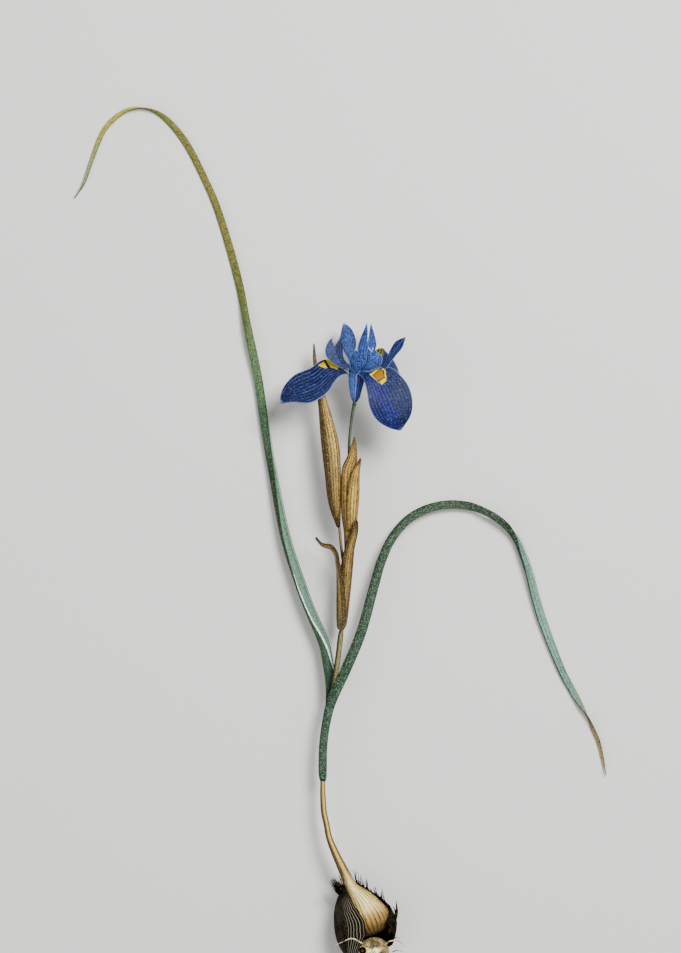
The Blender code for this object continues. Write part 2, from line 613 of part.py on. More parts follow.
def make_styles(look):
    """The style: one column up the middle of the cup, with an arm and two crests over each fall."""
    column = as_mesh(
        tube("styles", look, STYLE_COLUMN, 8, origin=THROAT)
    )
    arms = []
    for side, outline, notch, bulge in (
        ("left", STYLE_LEFT, 0.24, (0.0, 0.3, 0.4, 0.2)),
        ("front", STYLE_FRONT, 0.1, (0.0, 0.3, 0.4, 0.2)),
        ("back", STYLE_BACK, 0.4, (0.0, 0.3, 0.4, 0.2)),
    ):
        arms.append(as_mesh(blade("arm " + side, look, *outline, 10, 6, bulge, notch, THROAT)))
    return fuse(column, arms)


STAMENS = {
    "left": ((-1.37, -9.2, 0.0, 0.2), (-1.4, -5.0, 0.0, 0.2), (-1.5, -1.6, 0.0, 0.2), (-2.8, 0.2, 0.0, 0.2),
             (-4.7, 1.3, 0.0, 0.32), (-7.0, 2.2, -0.2, 0.3)),
    "front": ((-0.32, -9.2, 0.6, 0.2), (0.2, -5.0, 1.2, 0.2), (0.55, -1.8, 1.4, 0.2), (1.55, 0.05, 2.65, 0.2),
              (3.0, 0.1, 3.9, 0.3), (4.3, 0.1, 4.9, 0.28)),
    "back": ((-0.32, -9.2, -0.6, 0.2), (0.2, -5.0, -1.2, 0.2), (0.55, -1.6, -1.4, 0.2),
             (1.4, 0.2, -2.5, 0.2), (2.6, 1.3, -3.1, 0.3), (4.2, 3.6, -4.2, 0.3)),
}


def build():
    clear_scene()
    cream = material("corm skin", (0.62, 0.47, 0.28), 0.55)
    brown = material("tunic fibre", (0.05, 0.04, 0.025), 0.75)
    tan = material("old corm skin", (0.36, 0.27, 0.16), 0.7)
    green = material("leaf", (0.10, 0.17, 0.08), 0.5)
    stem_green = material("stem skin", (0.22, 0.24, 0.12), 0.5)
    paper = material("spathe", (0.33, 0.21, 0.08), 0.7)
    blue = material("petal", (0.03, 0.09, 0.33), 0.55)
    pale_blue = material("style", (0.05, 0.11, 0.34), 0.55)
    yellow = material("stamen", (0.75, 0.6, 0.2), 0.6)

    make_corm(cream)
    make_tunic(brown)
    make_old_corm(tan)
    channel("leaf_left", green, LEAF_LEFT, 72, 4)
    channel("leaf_right", green, LEAF_RIGHT, 66, 6)
    make_stem(stem_green)
    blade("bract_lower", paper, *BRACT_LOWER, 14, 4, (0.6, 0.7, 0.8, 0.3), arch=ROUND)
    blade("bract_middle", paper, *BRACT_MIDDLE, 12, 6, (2.3, 2.2, 1.4, 0.6, 0.2), arch=ROUND)
    blade("spathe_left", paper, *SPATHE_LEFT, 18, 6, (0.9, 2.4, 2.6, 2.2, 1.2, 0.3), arch=ROUND)
    blade("spathe_inner", paper, *SPATHE_INNER, 16, 6, (2.0, 2.2, 2.2, 1.9, 1.1, 0.2), arch=ROUND)
    blade("spathe_outer", paper, *SPATHE_OUTER, 10, 4, (0.8, 0.8, 0.6, 0.2), arch=ROUND)
    tube("flower_stalk", stem_green, FLOWER_STALK, 26)
    petal("fall_left", blue, 180, FALL_LEFT, 1, 16, (0.0, 0.0, 0.0, 0.5, 0.9, 0.4, 0.2))
    petal("fall_front", blue, 60, FALL_FRONT, 1, 16, (0.0, 0.0, 0.0, 0.5, -0.9, -0.8, -0.2))
    petal("fall_back", blue, -60, FALL_BACK, -1, 14, (0.0, 0.0, 0.0, 0.6, 0.8, 0.8, 0.2))
    petal("standard_back", blue, -120, STANDARD_BACK, -1, 12, (0.0, 0.2, 0.5, 0.8, 0.3))
    petal("standard_front", blue, 120, STANDARD_FRONT, 1, 12, (0.0, 0.2, 0.3, 0.5, 0.1))
    petal("standard_right", blue, 0, STANDARD_RIGHT, -1, 12, (0.0, 0.2, -0.4, -0.6, -0.2))
    make_styles(pale_blue)
    for side, points in STAMENS.items():
        tube("stamen_" + side, yellow, points, 8, sides=1, origin=THROAT)


build()
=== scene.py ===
import math
import random

import bpy
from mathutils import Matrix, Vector, noise


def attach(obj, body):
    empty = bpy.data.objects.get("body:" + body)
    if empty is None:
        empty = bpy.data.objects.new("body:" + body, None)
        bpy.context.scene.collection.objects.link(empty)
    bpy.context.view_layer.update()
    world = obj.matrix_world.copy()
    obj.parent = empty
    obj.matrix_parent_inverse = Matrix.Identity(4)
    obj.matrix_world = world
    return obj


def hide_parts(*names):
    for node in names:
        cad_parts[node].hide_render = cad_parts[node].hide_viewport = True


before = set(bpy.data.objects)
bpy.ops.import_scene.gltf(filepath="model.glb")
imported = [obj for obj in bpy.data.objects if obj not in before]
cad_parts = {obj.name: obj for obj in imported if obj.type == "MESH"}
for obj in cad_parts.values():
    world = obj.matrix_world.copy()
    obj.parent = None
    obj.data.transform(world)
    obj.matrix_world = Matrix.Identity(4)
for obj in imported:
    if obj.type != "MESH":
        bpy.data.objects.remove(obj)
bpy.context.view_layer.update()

# The corm and its neck. It is the plant's food store: a firm cream body with a ribbed skin, drawn out into a
# long neck by the bases of old leaves. It sits loose inside its coat, and the neck carries all that grows.

MM = 0.001
CORM_SPINE = (
    (3.3, -4.6, 8.3, 0.5),
    (3.0, -3.9, 8.3, 4.9),
    (2.3, -2.2, 8.3, 6.8),
    (1.7, -0.4, 8.3, 7.6),
    (0.7, 2.0, 8.3, 7.4),
    (-0.5, 4.6, 8.3, 6.3),
    (-1.9, 7.3, 8.4, 5.0),
    (-3.7, 10.0, 8.5, 3.4),
    (-5.1, 12.2, 8.6, 2.3),
    (-7.3, 17.1, 8.8, 1.7),
    (-9.3, 21.3, 8.9, 1.5),
    (-11.2, 25.5, 8.9, 1.3),
    (-12.8, 29.7, 8.8, 1.1),
    (-13.6, 33.9, 8.7, 1.05),
    (-14.5, 38.1, 8.5, 1.05),
    (-14.9, 43.0, 8.4, 1.0),
    (-15.0, 48.7, 8.3, 0.85),
    (-15.0, 50.6, 8.3, 0.75),
)
CORM_ROWS = 200
CORM_FLOOR = 2.5
CORM_RIBS = 27
CORM_RIB_DEPTH = 0.05
CORM_RIB_SWAY = 0.4
RIBS_START, RIBS_FULL = 1.4, 4.5
NECK_STEP = 0.47
NECK_STEP_DEPTH = 0.05
WELD_WITHIN = 0.002


def smooth_curve(points):
    """A smooth curve through points of any dimension, as a function of 0 to 1 along it."""
    points = [tuple(point) for point in points]
    size = len(points[0])
    reach = [math.dist(a[:3], b[:3]) for a, b in zip(points, points[1:])]
    knots = [sum(reach[:i]) / sum(reach) for i in range(len(points))]
    slopes = []
    for i in range(len(points)):
        before, after = max(i - 1, 0), min(i + 1, len(points) - 1)
        span = knots[after] - knots[before]
        slopes.append([(points[after][k] - points[before][k]) / span for k in range(size)])

    def at(t):
        i = 0
        while i < len(points) - 2 and t > knots[i + 1]:
            i += 1
        width = knots[i + 1] - knots[i]
        s = (t - knots[i]) / width
        a, b = 2 * s**3 - 3 * s**2 + 1, s**3 - 2 * s**2 + s
        c, d = 3 * s**2 - 2 * s**3, s**3 - s**2
        return [
            a * points[i][k] + b * width * slopes[i][k] + c * points[i + 1][k] + d * width * slopes[i + 1][k]
            for k in range(size)
        ]

    return at


def groove(turns, width=0.5):
    """How deep a point lies in one of a row of even grooves: 1 at whole turns, 0 between them."""
    off = abs(turns - round(turns)) * 2
    return max(0.0, 1.0 - off / width) ** 1.5


def smooth_step(value, low, high):
    """A soft rise from 0 at low to 1 at high."""
    share = min(max((value - low) / (high - low), 0.0), 1.0)
    return share * share * (3 - 2 * share)


def only(piece):
    """Selects one piece and nothing else."""
    bpy.ops.object.select_all(action="DESELECT")
    piece.select_set(True)
    bpy.context.view_layer.objects.active = piece


def shaped_grid(name, rows, columns, place):
    """A grid primitive whose every point is moved to place(u, v), in millimetres."""
    bpy.ops.object.select_all(action="DESELECT")
    bpy.ops.mesh.primitive_grid_add(x_subdivisions=rows, y_subdivisions=columns, size=1)
    piece = bpy.context.object
    piece.name = piece.data.name = name
    for vert in piece.data.vertices:
        vert.co = Vector(place(vert.co.x + 0.5, vert.co.y + 0.5)) * MM
    return piece


def weld(piece):
    """Joins the seam and the poles of a wrapped piece, and turns its faces outwards."""
    only(piece)
    bpy.ops.object.mode_set(mode="EDIT")
    bpy.ops.mesh.select_all(action="SELECT")
    bpy.ops.mesh.remove_doubles(threshold=WELD_WITHIN * MM)
    bpy.ops.mesh.normals_make_consistent(inside=False)
    bpy.ops.object.mode_set(mode="OBJECT")
    return piece


def thicken(piece, thickness, looks):
    """Turns an open blade into a closed one, its two faces kept the same distance from the middle."""
    only(piece)
    for look in looks:
        piece.data.materials.append(look)
    solid = piece.modifiers.new("Thickness", "SOLIDIFY")
    solid.thickness = thickness * MM
    solid.offset = 0.0
    solid.use_even_offset = False
    solid.material_offset = len(looks) - 1
    bpy.ops.object.modifier_apply(modifier=solid.name)
    return piece


def seat(piece, slot, nodes, *looks):
    """Dresses a finished piece and sets it in the frame in place of its nodes."""
    for look in looks:
        piece.data.materials.append(look)
    only(piece)
    bpy.ops.object.shade_smooth()
    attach(piece, "root")
    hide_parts(*nodes)
    return piece


class Wires:
    """The nodes of one material or one node group, added and joined one at a time."""

    def __init__(self, tree):
        self.tree = tree

    def add(self, kind, inputs=(), **settings):
        made = self.tree.nodes.new("ShaderNode" + kind)
        for name, value in settings.items():
            setattr(made, name, value)
        for key, value in dict(inputs).items():
            if isinstance(value, bpy.types.NodeSocket):
                self.tree.links.new(value, made.inputs[key])
            elif made.inputs[key].type == "RGBA":
                made.inputs[key].default_value = (*value, 1.0)
            else:
                made.inputs[key].default_value = value
        return made

    def sums(self, operation, *values):
        return self.add("Math", enumerate(values), operation=operation).outputs[0]

    def times(self, first, *others):
        for other in others:
            first = self.sums("MULTIPLY", first, other)
        return first

    def step(self, value, low, high):
        """A soft rise from 0 at low to 1 at high."""
        places = {"Value": value, "From Min": low, "From Max": high}
        return self.add("MapRange", places, interpolation_type="SMOOTHSTEP").outputs[0]

    def band(self, value, rise, fall):
        return self.times(self.step(value, *rise), self.step(value, *fall))

    def near(self, value, centre, far, close):
        """A mask that is 1 within close of a centre, and 0 beyond far."""
        return self.step(self.sums("ABSOLUTE", self.sums("SUBTRACT", value, centre)), far, close)

    def mix(self, share, first, second):
        return self.add("Mix", {0: share, 6: first, 7: second}, data_type="RGBA").outputs[2]

    def tint(self, colour, mask, share, paint):
        """Lays a paint over a colour where a mask is, at a share of its strength."""
        return self.mix(self.times(mask, share), colour, paint)

    def ramp(self, value, stops):
        made = self.add("ValToRGB", {0: value})
        while len(made.color_ramp.elements) < len(stops):
            made.color_ramp.elements.new(1.0)
        for stop, (place, colour) in zip(made.color_ramp.elements, stops):
            stop.position = place
            stop.color = (*colour, 1.0)
        return made.outputs[0]

    def spot(self):
        """A point of the piece as it stands in the scene, in metres."""
        return self.add("TexCoord").outputs["Object"]

    def clouds(self, spot, scale, detail=1.0):
        return self.add("TexNoise", {"Vector": spot, "Scale": scale, "Detail": detail}).outputs[0]

    def vectors(self, operation, *values):
        made = self.add("VectorMath", enumerate(values), operation=operation)
        return made.outputs["Value" if operation in ("LENGTH", "DOT_PRODUCT") else "Vector"]

    def away(self, spot, centre):
        """How far a point lies from an upright line through a centre in millimetres."""
        flat = self.vectors("MULTIPLY", spot, (1.0, 1.0, 0.0))
        off = self.vectors("SUBTRACT", flat, (centre[0] * MM, centre[1] * MM, 0.0))
        return self.sums("DIVIDE", self.vectors("LENGTH", off), MM)

    def surface(self):
        """Along and across a piece: the two parts of its own UV map."""
        spot = self.add("UVMap", uv_map="UVMap").outputs[0]
        parts = self.add("SeparateXYZ", {0: spot})
        return parts.outputs[0], parts.outputs[1]

    def group(self, tree, **inputs):
        made = self.add("Group", node_tree=tree)
        for name, value in inputs.items():
            title = name.replace("_", " ").capitalize()
            if isinstance(value, bpy.types.NodeSocket):
                self.tree.links.new(value, made.inputs[title])
            else:
                made.inputs[title].default_value = value
        return made.outputs[0]


def new_group(name, inputs, result):
    """An empty node group with number inputs and one number output."""
    tree = bpy.data.node_groups.new(name, "ShaderNodeTree")
    for title in inputs:
        tree.interface.new_socket(title, in_out="INPUT", socket_type="NodeSocketFloat")
    tree.interface.new_socket(result, in_out="OUTPUT", socket_type="NodeSocketFloat")
    wires = Wires(tree)
    source = tree.nodes.new("NodeGroupInput")
    end = tree.nodes.new("NodeGroupOutput")
    return tree, wires, {title: source.outputs[title] for title in inputs}, end.inputs[result]


def rgb(red, green, blue):
    """A colour as the eye reads it, 0 to 255, turned to the linear light that a shader takes."""
    shares = (red / 255, green / 255, blue / 255)
    return tuple(c / 12.92 if c <= 0.04045 else ((c + 0.055) / 1.055) ** 2.4 for c in shares)


def bands(stops):
    """The stops of a ramp, from places and colours as the eye reads them."""
    return [(place, rgb(*colour)) for place, *colour in stops]


# Grains: the fine dots of a skin seen close. The size is in millimetres, and a higher cover gives more dots.
grains, wires, given, result = new_group("Grains", ("Size", "Cover"), "Dots")
speck = wires.clouds(wires.spot(), wires.sums("DIVIDE", 1 / MM, given["Size"]), 2.0)
low = wires.sums("MULTIPLY_ADD", given["Cover"], -0.36, 0.64)
high = wires.sums("ADD", low, 0.1)
wires.tree.links.new(wires.step(speck, low, high), result)

# Lines: veins, ribs or fibres that run the length of a piece, each a little wavy and broken.
traits = ("Along", "Across", "Count", "Width", "Wander", "Broken", "Seed")
lines, wires, given, result = new_group("Lines", traits, "Line")
far = wires.times(given["Along"], 5.0)
near = wires.add("CombineXYZ", {0: far, 1: wires.times(given["Across"], 3.0), 2: given["Seed"]}).outputs[0]
sway = wires.times(wires.sums("SUBTRACT", wires.clouds(near, 1.0), 0.5), given["Wander"])
turns = wires.times(wires.sums("ADD", given["Across"], sway), given["Count"])
off = wires.times(wires.sums("PINGPONG", turns, 0.5), 2.0)
line = wires.sums("SUBTRACT", 1.0, wires.step(off, 0.0, given["Width"]))
number = wires.sums("FLOOR", wires.sums("ADD", turns, 0.5))
own = wires.add("CombineXYZ", {0: wires.times(far, 1.6), 1: number, 2: given["Seed"]}).outputs[0]
gap = wires.step(wires.clouds(own, 1.3), 0.38, 0.62)
gap = wires.times(wires.sums("SUBTRACT", 1.0, gap), given["Broken"])
wires.tree.links.new(wires.times(line, wires.sums("SUBTRACT", 1.0, gap)), result)


def new_skin(name, roughness, specular=0.15):
    """A material with an empty Principled shader, and the wires to fill it with."""
    look = bpy.data.materials.new(name)
    look.use_nodes = True
    shader = look.node_tree.nodes["Principled BSDF"]
    shader.inputs["Roughness"].default_value = roughness
    shader.inputs["Specular IOR Level"].default_value = specular
    return look, Wires(look.node_tree), shader


def dress(wires, shader, colour, height, strength=0.3, depth=0.15):
    """Joins the colour, and a bump of the height in millimetres, to the shader."""
    bump = wires.add("Bump", {"Height": height, "Strength": strength, "Distance": depth * MM})
    wires.tree.links.new(colour, shader.inputs["Base Color"])
    wires.tree.links.new(bump.outputs[0], shader.inputs["Normal"])


corm_path = smooth_curve(CORM_SPINE)


def ring_point(path, u, v, radius):
    """A point round a path: u along it, and v of a turn round it. Both ends close to a point."""
    ahead, behind = path(min(u + 0.01, 1.0)), path(max(u - 0.01, 0.0))
    along = (Vector(ahead[:3]) - Vector(behind[:3])).normalized()
    side = Vector((0, 0, 1)).cross(along).normalized()
    if u in (0.0, 1.0):
        radius = 0.0
    angle = 2 * math.pi * v
    return Vector(path(u)[:3]) + radius * (side * math.cos(angle) + along.cross(side) * math.sin(angle))


def corm_point(u, v):
    radius = corm_path(u)[3]
    fullness = smooth_step(radius, RIBS_START, RIBS_FULL)
    sway = CORM_RIB_SWAY * noise.noise(Vector((u * 9, v * 3, 0)))
    radius *= 1.0 - CORM_RIB_DEPTH * fullness * groove(v * CORM_RIBS + sway)
    stepped = smooth_step(u, NECK_STEP + 0.004, NECK_STEP) * smooth_step(u, 0.2, 0.4)
    point = ring_point(corm_path, u, v, radius * (1.0 + NECK_STEP_DEPTH * stepped))
    point.z = max(point.z, CORM_FLOOR)
    return point


corm = weld(shaped_grid("corm_and_neck", CORM_ROWS, CORM_RIBS * 8, corm_point))

skin, wires, shader = new_skin("Corm skin", 0.5)
along, across = wires.surface()
# Colour from foot to neck: the dark foot is painted shade, and the bright band low on the belly is a painted
# highlight.
colour = wires.ramp(along, bands((
    (0.0, 52, 36, 6), (0.05, 98, 78, 41), (0.11, 159, 128, 59), (0.18, 208, 171, 81),
    (0.3, 178, 143, 70), (0.42, 104, 86, 51), (0.7, 91, 76, 46), (1.0, 110, 96, 61),
)))
# A painted highlight: a bright stripe up one side of the belly and the neck, near white on the neck.
shine = wires.mix(wires.step(along, 0.3, 0.42), rgb(250, 232, 172), rgb(213, 172, 70))
colour = wires.tint(colour, wires.band(across, (0.2, 0.27), (0.36, 0.3)), wires.step(along, 0.12, 0.2), shine)
ribs = wires.group(
    lines, along=along, across=across, count=CORM_RIBS, width=0.42, wander=0.01, broken=0.4, seed=3.0
)
belly = wires.step(along, 0.42, 0.34)
crests = wires.times(wires.step(ribs, 0.12, 0.0), wires.step(along, 0.1, 0.16))
colour = wires.tint(colour, wires.times(crests, belly), 0.5, rgb(230, 210, 141))
colour = wires.tint(colour, ribs, belly, rgb(54, 32, 0))
shade = wires.sums("MAXIMUM", wires.step(across, 0.24, 0.1), wires.step(across, 0.36, 0.48))
colour = wires.tint(colour, shade, 0.5, rgb(63, 45, 22))
dots = wires.group(grains, size=0.5, cover=0.6)
colour = wires.tint(colour, dots, wires.sums("MULTIPLY_ADD", shade, 0.6, 0.25), rgb(28, 2, 0))
dress(wires, shader, colour, wires.sums("SUBTRACT", 1.0, ribs), 0.5, 0.2)
seat(corm, "corm_skin", ["corm"], skin)

# The coat, or tunic: coarse dark fibres left by old leaf bases, which wrap the corm in a loose shell. It is
# torn open in front and on the right, frays into bristles round the neck, and the whole plant rests on it.

BULB_HEIGHT = 8.3
TUNIC_WIDTH = 11.1
TUNIC_TOP = 14.6
TUNIC_BOTTOM = 15.5
TUNIC_DEPTH = 8.9
TUNIC_WALL = 0.6
TUNIC_SKIN = 0.4
TUNIC_LEAN = math.radians(24)
TUNIC_SWAY = 0.18
TUNIC_TAPER = 0.01
TUNIC_WINDOW_LEFT = (106, 99, 95, 91, 96, 134, 140)
TUNIC_WINDOW_RIGHT = (-78, -72, -56, -18, 50, 30, 4)
TUNIC_MOUTH = 25
TUNIC_FOOT = 146
TUNIC_ROWS = 90
TUNIC_FIBRES = 42
FIBRE_RELIEF = 0.34
FRAY = 5.0
TEAR = 3.5
FRAY_SEED = 11
MOUTH_BRISTLES = 100
MOUTH_REACH = (2.5, 7.0)
MOUTH_THICK = (0.1, 0.3)
LIP_STRANDS = (0.0, 0.25, 0.5)
LIP_BRISTLES = 46
LIP_REACH = (1.8, 5.6)
SPINES = ((-10.5, 12.0, 2.2), (-12.5, 10.0, 2.8), (-6.0, 12.5, 1.6))
THORN = ((7.6, -4.5, 12.6, 0.6), (9.6, -0.6, 12.0, 0.75), (10.9, 3.4, 11.0, 0.5), (10.7, 7.6, 10.2, 0.05))
LIP = (
    (-3.4, 13.4, 7.6, 0.1),
    (-2.2, 12.3, 7.8, 0.3),
    (1.5, 9.8, 7.8, 0.4),
    (4.1, 8.1, 7.8, 0.5),
    (7.4, 5.2, 7.8, 0.5),
)
SPUR = ((10.6, 2.2, 11.2, 0.4), (10.2, 4.4, 11.3, 0.2), (9.4, 5.8, 11.4, 0.04))


def blend(values, t):
    """A value read from evenly spaced ones, in straight steps."""
    place = min(max(t, 0.0), 1.0) * (len(values) - 1)
    i = min(int(place), len(values) - 2)
    return values[i] + (values[i + 1] - values[i]) * (place - i)


def tunic_point(down, around, inset):
    """A point on the coat: degrees down from its mouth, degrees round, and depth into its wall."""
    down, around = math.radians(down), math.radians(around)
    x, y, z = math.sin(down) * math.cos(around), math.cos(down), math.sin(down) * math.sin(around)
    x, y = (
        x * math.cos(TUNIC_LEAN) - y * math.sin(TUNIC_LEAN),
        x * math.sin(TUNIC_LEAN) + y * math.cos(TUNIC_LEAN),
    )
    tall = TUNIC_TOP if y > 0 else TUNIC_BOTTOM
    x, y = x * (TUNIC_WIDTH - inset), y * (tall - inset)
    above = max(y, 0.0)
    x = x * (1 - TUNIC_TAPER * above) - TUNIC_SWAY * above
    return Vector((x, y, BULB_HEIGHT + z * (TUNIC_DEPTH - inset)))


def tunic_skin_point(u, v):
    fray = FRAY * noise.noise(Vector((v * 40, 1.7, 0))) * smooth_step(u, 0.12, 0.0)
    down = TUNIC_MOUTH + fray + (TUNIC_FOOT - TUNIC_MOUTH) * u
    torn = TEAR * noise.noise(Vector((u * 14, 5.1, 0)))
    start = blend(TUNIC_WINDOW_LEFT, u) + torn * 0.6
    end = 360 + blend(TUNIC_WINDOW_RIGHT, u) + torn
    turns = v * TUNIC_FIBRES + 0.12 * noise.noise(Vector((u * 5, v * 6, 2)))
    inset = TUNIC_WALL / 2 - 0.08 + FIBRE_RELIEF * groove(turns, 0.9)
    point = tunic_point(down, start + (end - start) * v, inset)
    point.z = max(point.z, TUNIC_SKIN / 2)
    return point


def strands(name, routes, sides=2):
    """Many thin tapered strands as one mesh. Each route is a list of x, y, z and radius."""
    curve = bpy.data.curves.new(name, "CURVE")
    curve.dimensions = "3D"
    curve.bevel_depth = MM
    curve.bevel_resolution = sides
    curve.use_fill_caps = True
    for route in routes:
        path = smooth_curve(route)
        steps = 6 * (len(route) - 1)
        line = curve.splines.new("POLY")
        line.points.add(steps)
        for i in range(steps + 1):
            x, y, z, radius = path(i / steps)
            line.points[i].co = (x * MM, y * MM, z * MM, 1.0)
            line.points[i].radius = max(radius, 0.03)
    piece = bpy.data.objects.new(name, curve)
    bpy.context.scene.collection.objects.link(piece)
    only(piece)
    bpy.ops.object.convert(target="MESH")
    return weld(piece)


skin, wires, shader = new_skin("Coat fibres", 0.85, 0.03)
along, across = wires.surface()
dark = wires.mix(wires.group(grains, size=0.45, cover=0.5), rgb(4, 0, 0), rgb(36, 31, 21))
fibre = wires.group(
    lines, along=along, across=across, count=TUNIC_FIBRES, width=1.0, wander=0.003, broken=0.0, seed=1.0
)
crest = wires.sums("SUBTRACT", 1.0, fibre)
pale = wires.times(wires.step(crest, 0.93, 1.0), wires.band(along, (0.08, 0.25), (0.98, 0.8)))
by_window = wires.band(across, (0.16, 0.12), (0.004, 0.02))
by_far_edge = wires.band(across, (0.1, 0.2), (0.46, 0.34))
worn = wires.step(wires.clouds(wires.spot(), 300.0), 0.3, 0.6)
colour = wires.tint(dark, pale, by_window, rgb(127, 123, 106))
colour = wires.tint(colour, pale, wires.times(by_far_edge, worn), rgb(70, 66, 56))
dress(wires, shader, colour, crest, 0.7, 0.25)
coat_sheet = shaped_grid("fibrous_coat", TUNIC_ROWS, TUNIC_FIBRES * 6, tunic_skin_point)
tunic = thicken(coat_sheet, TUNIC_SKIN, [skin])
seat(tunic, "tunic_fibre", ["tunic"])

draw = random.Random(FRAY_SEED)
routes = [THORN, SPUR]
for step in LIP_STRANDS:
    routes.append([(x + step, y + step, z + step, radius) for x, y, z, radius in LIP])
for i in range(MOUTH_BRISTLES):
    share = i / (MOUTH_BRISTLES - 1)
    slope = max(0.0, share - 0.7) / 0.3
    down = TUNIC_MOUTH + 4 + 42 * slope
    edge = blend(TUNIC_WINDOW_RIGHT, (down - TUNIC_MOUTH) / (TUNIC_FOOT - TUNIC_MOUTH))
    around = edge - 5 if slope else 108 + 165 * (share / 0.7) ** 1.4 + draw.uniform(-3, 3)
    root = tunic_point(down + 5, around, TUNIC_WALL / 2)
    lip = tunic_point(down - 3, around, TUNIC_WALL / 2)
    course = Vector((0.4 * share - 0.65 + draw.uniform(-0.3, 0.2), 1.0, draw.uniform(-0.15, 0.02)))
    tip = lip + course.normalized() * draw.uniform(*MOUTH_REACH)
    middle = (lip + tip) / 2 + Vector((draw.uniform(-0.3, 0.3), 0, draw.uniform(-0.15, 0.1)))
    thick = draw.uniform(*MOUTH_THICK)
    routes.append(((*root, thick), (*lip, thick), (*middle, thick * 0.6), (*tip, 0.03)))
lip_path = smooth_curve(LIP)
for i in range(LIP_BRISTLES):
    start = Vector(lip_path(i / LIP_BRISTLES)[:3])
    course = Vector((draw.uniform(-0.5, 0.05), 1.0, draw.uniform(-0.2, 0.1)))
    course = course.normalized() * draw.uniform(*LIP_REACH)
    sag = Vector((draw.uniform(-0.3, 0.3), 0, 0))
    routes.append(((*start, 0.16), (*(start + course / 2 + sag), 0.12), (*(start + course), 0.04)))
for low, high, reach in SPINES:
    tip = (10.8 + reach, low + 0.2, high - 0.6, 0.04)
    routes.append(((9.6, low, 9.6, 0.2), (10.8, low + 0.6, high, 0.14), tip))
bristles = strands("coat_bristles", routes)
skin, wires, shader = new_skin("Bristles", 0.85, 0.03)
patchy = wires.clouds(wires.spot(), 420.0)
colour = wires.mix(wires.step(patchy, 0.5, 0.7), rgb(0, 0, 0), rgb(40, 30, 9))
dress(wires, shader, colour, patchy, 0.1)
seat(bristles, "tunic_fibre", ["tunic"], skin)

# Last year's corm, shrunken and wrinkled, grown fast under the new one, with a round scar in front. The roots
# grow out round its rim: two long pale ones lie over the coat, and the others trail away from its underside.

OLD_CORM_CENTRE = Vector((2.8, -10.2, BULB_HEIGHT + 1.0))
OLD_CORM_SIZE = (5.6, 4.9, 5.3)
OLD_CORM_ROWS = 110
OLD_CORM_RIDGES = 9
SCAR = (-1.0, -10.0)
SCAR_RADIUS = 1.45
LIT_HEIGHTS = (12.8 * MM, 14.5 * MM)
FACING_HEIGHTS = (8.5 * MM, 9.5 * MM)
ROOT_THICK = 0.27
ROOT_TAPER = 0.19
ROOT_HAIRS = 18
ROOTS = (
    ((1.6, -8.2, 12.6), (-0.6, -7.6, 16.8), (-4.6, -5.6, 17.4), (-8.0, -6.9, 14.4), (-10.6, -8.2, 9.6)),
    ((6.4, -8.4, 11.2), (8.6, -6.6, 14.4), (11.6, -6.6, 14.0), (14.0, -9.2, 10.6)),
    ((0.5, -13.0, 9.5), (-2.4, -18.6, 9.2), (-5.6, -23.4, 6.6)),
    ((2.6, -14.0, 7.0), (2.2, -19.6, 4.6), (0.6, -26.6, 2.4)),
    ((5.4, -13.4, 10.0), (7.6, -18.4, 9.0), (8.4, -23.8, 5.4)),
    ((3.6, -13.9, 11.0), (4.4, -18.6, 11.8), (4.0, -23.0, 9.6)),
)


def old_corm_point(u, v):
    angle = 2 * math.pi * v
    tall, out = -math.cos(math.pi * u), math.sin(math.pi * u)
    rough = noise.noise(Vector((math.cos(angle) * 3, math.sin(angle) * 3, u * 6)))
    wrinkle = 1.0 - 0.05 * out * (0.5 + 0.5 * math.cos(OLD_CORM_RIDGES * angle + 5 * u))
    wrinkle += 0.03 * (rough - math.cos(11 * u))
    x, z = out * math.cos(angle) * wrinkle, -out * math.sin(angle) * wrinkle
    point = OLD_CORM_CENTRE + Vector((x * OLD_CORM_SIZE[0], tall * OLD_CORM_SIZE[1], z * OLD_CORM_SIZE[2]))
    away = math.dist(point[:2], SCAR) / SCAR_RADIUS if point.z > OLD_CORM_CENTRE.z else 9.0
    lift = 0.3 * math.exp(-(((away - 1.0) / 0.22) ** 2)) - 0.4 * smooth_step(away, 0.85, 0.3)
    return point + (point - OLD_CORM_CENTRE).normalized() * lift


old_corm = weld(shaped_grid("old_corm_body", OLD_CORM_ROWS, 150, old_corm_point))
skin, wires, shader = new_skin("Old corm skin", 0.65)
spot = wires.spot()
patchy = wires.clouds(spot, 260.0, 3.0)
colour = wires.mix(wires.step(patchy, 0.36, 0.6), rgb(83, 72, 49), rgb(159, 138, 90))
height = wires.add("SeparateXYZ", {0: spot}).outputs[2]
lit = wires.times(wires.step(height, *LIT_HEIGHTS), wires.step(patchy, 0.4, 0.55))
colour = wires.mix(lit, colour, rgb(255, 255, 171))
dots = wires.group(grains, size=0.45, cover=0.45)
colour = wires.tint(colour, dots, 0.8, rgb(29, 8, 0))
away = wires.sums("DIVIDE", wires.away(spot, SCAR), SCAR_RADIUS)
facing = wires.step(height, *FACING_HEIGHTS)
colour = wires.tint(colour, wires.step(away, 1.3, 1.15), facing, rgb(178, 161, 108))
colour = wires.tint(colour, wires.step(away, 0.95, 0.8), facing, rgb(0, 0, 0))
colour = wires.tint(colour, wires.step(away, 0.4, 0.25), facing, rgb(94, 78, 43))
dress(wires, shader, colour, patchy, 0.5, 0.3)
seat(old_corm, "old_corm_skin", ["old_corm"], skin)

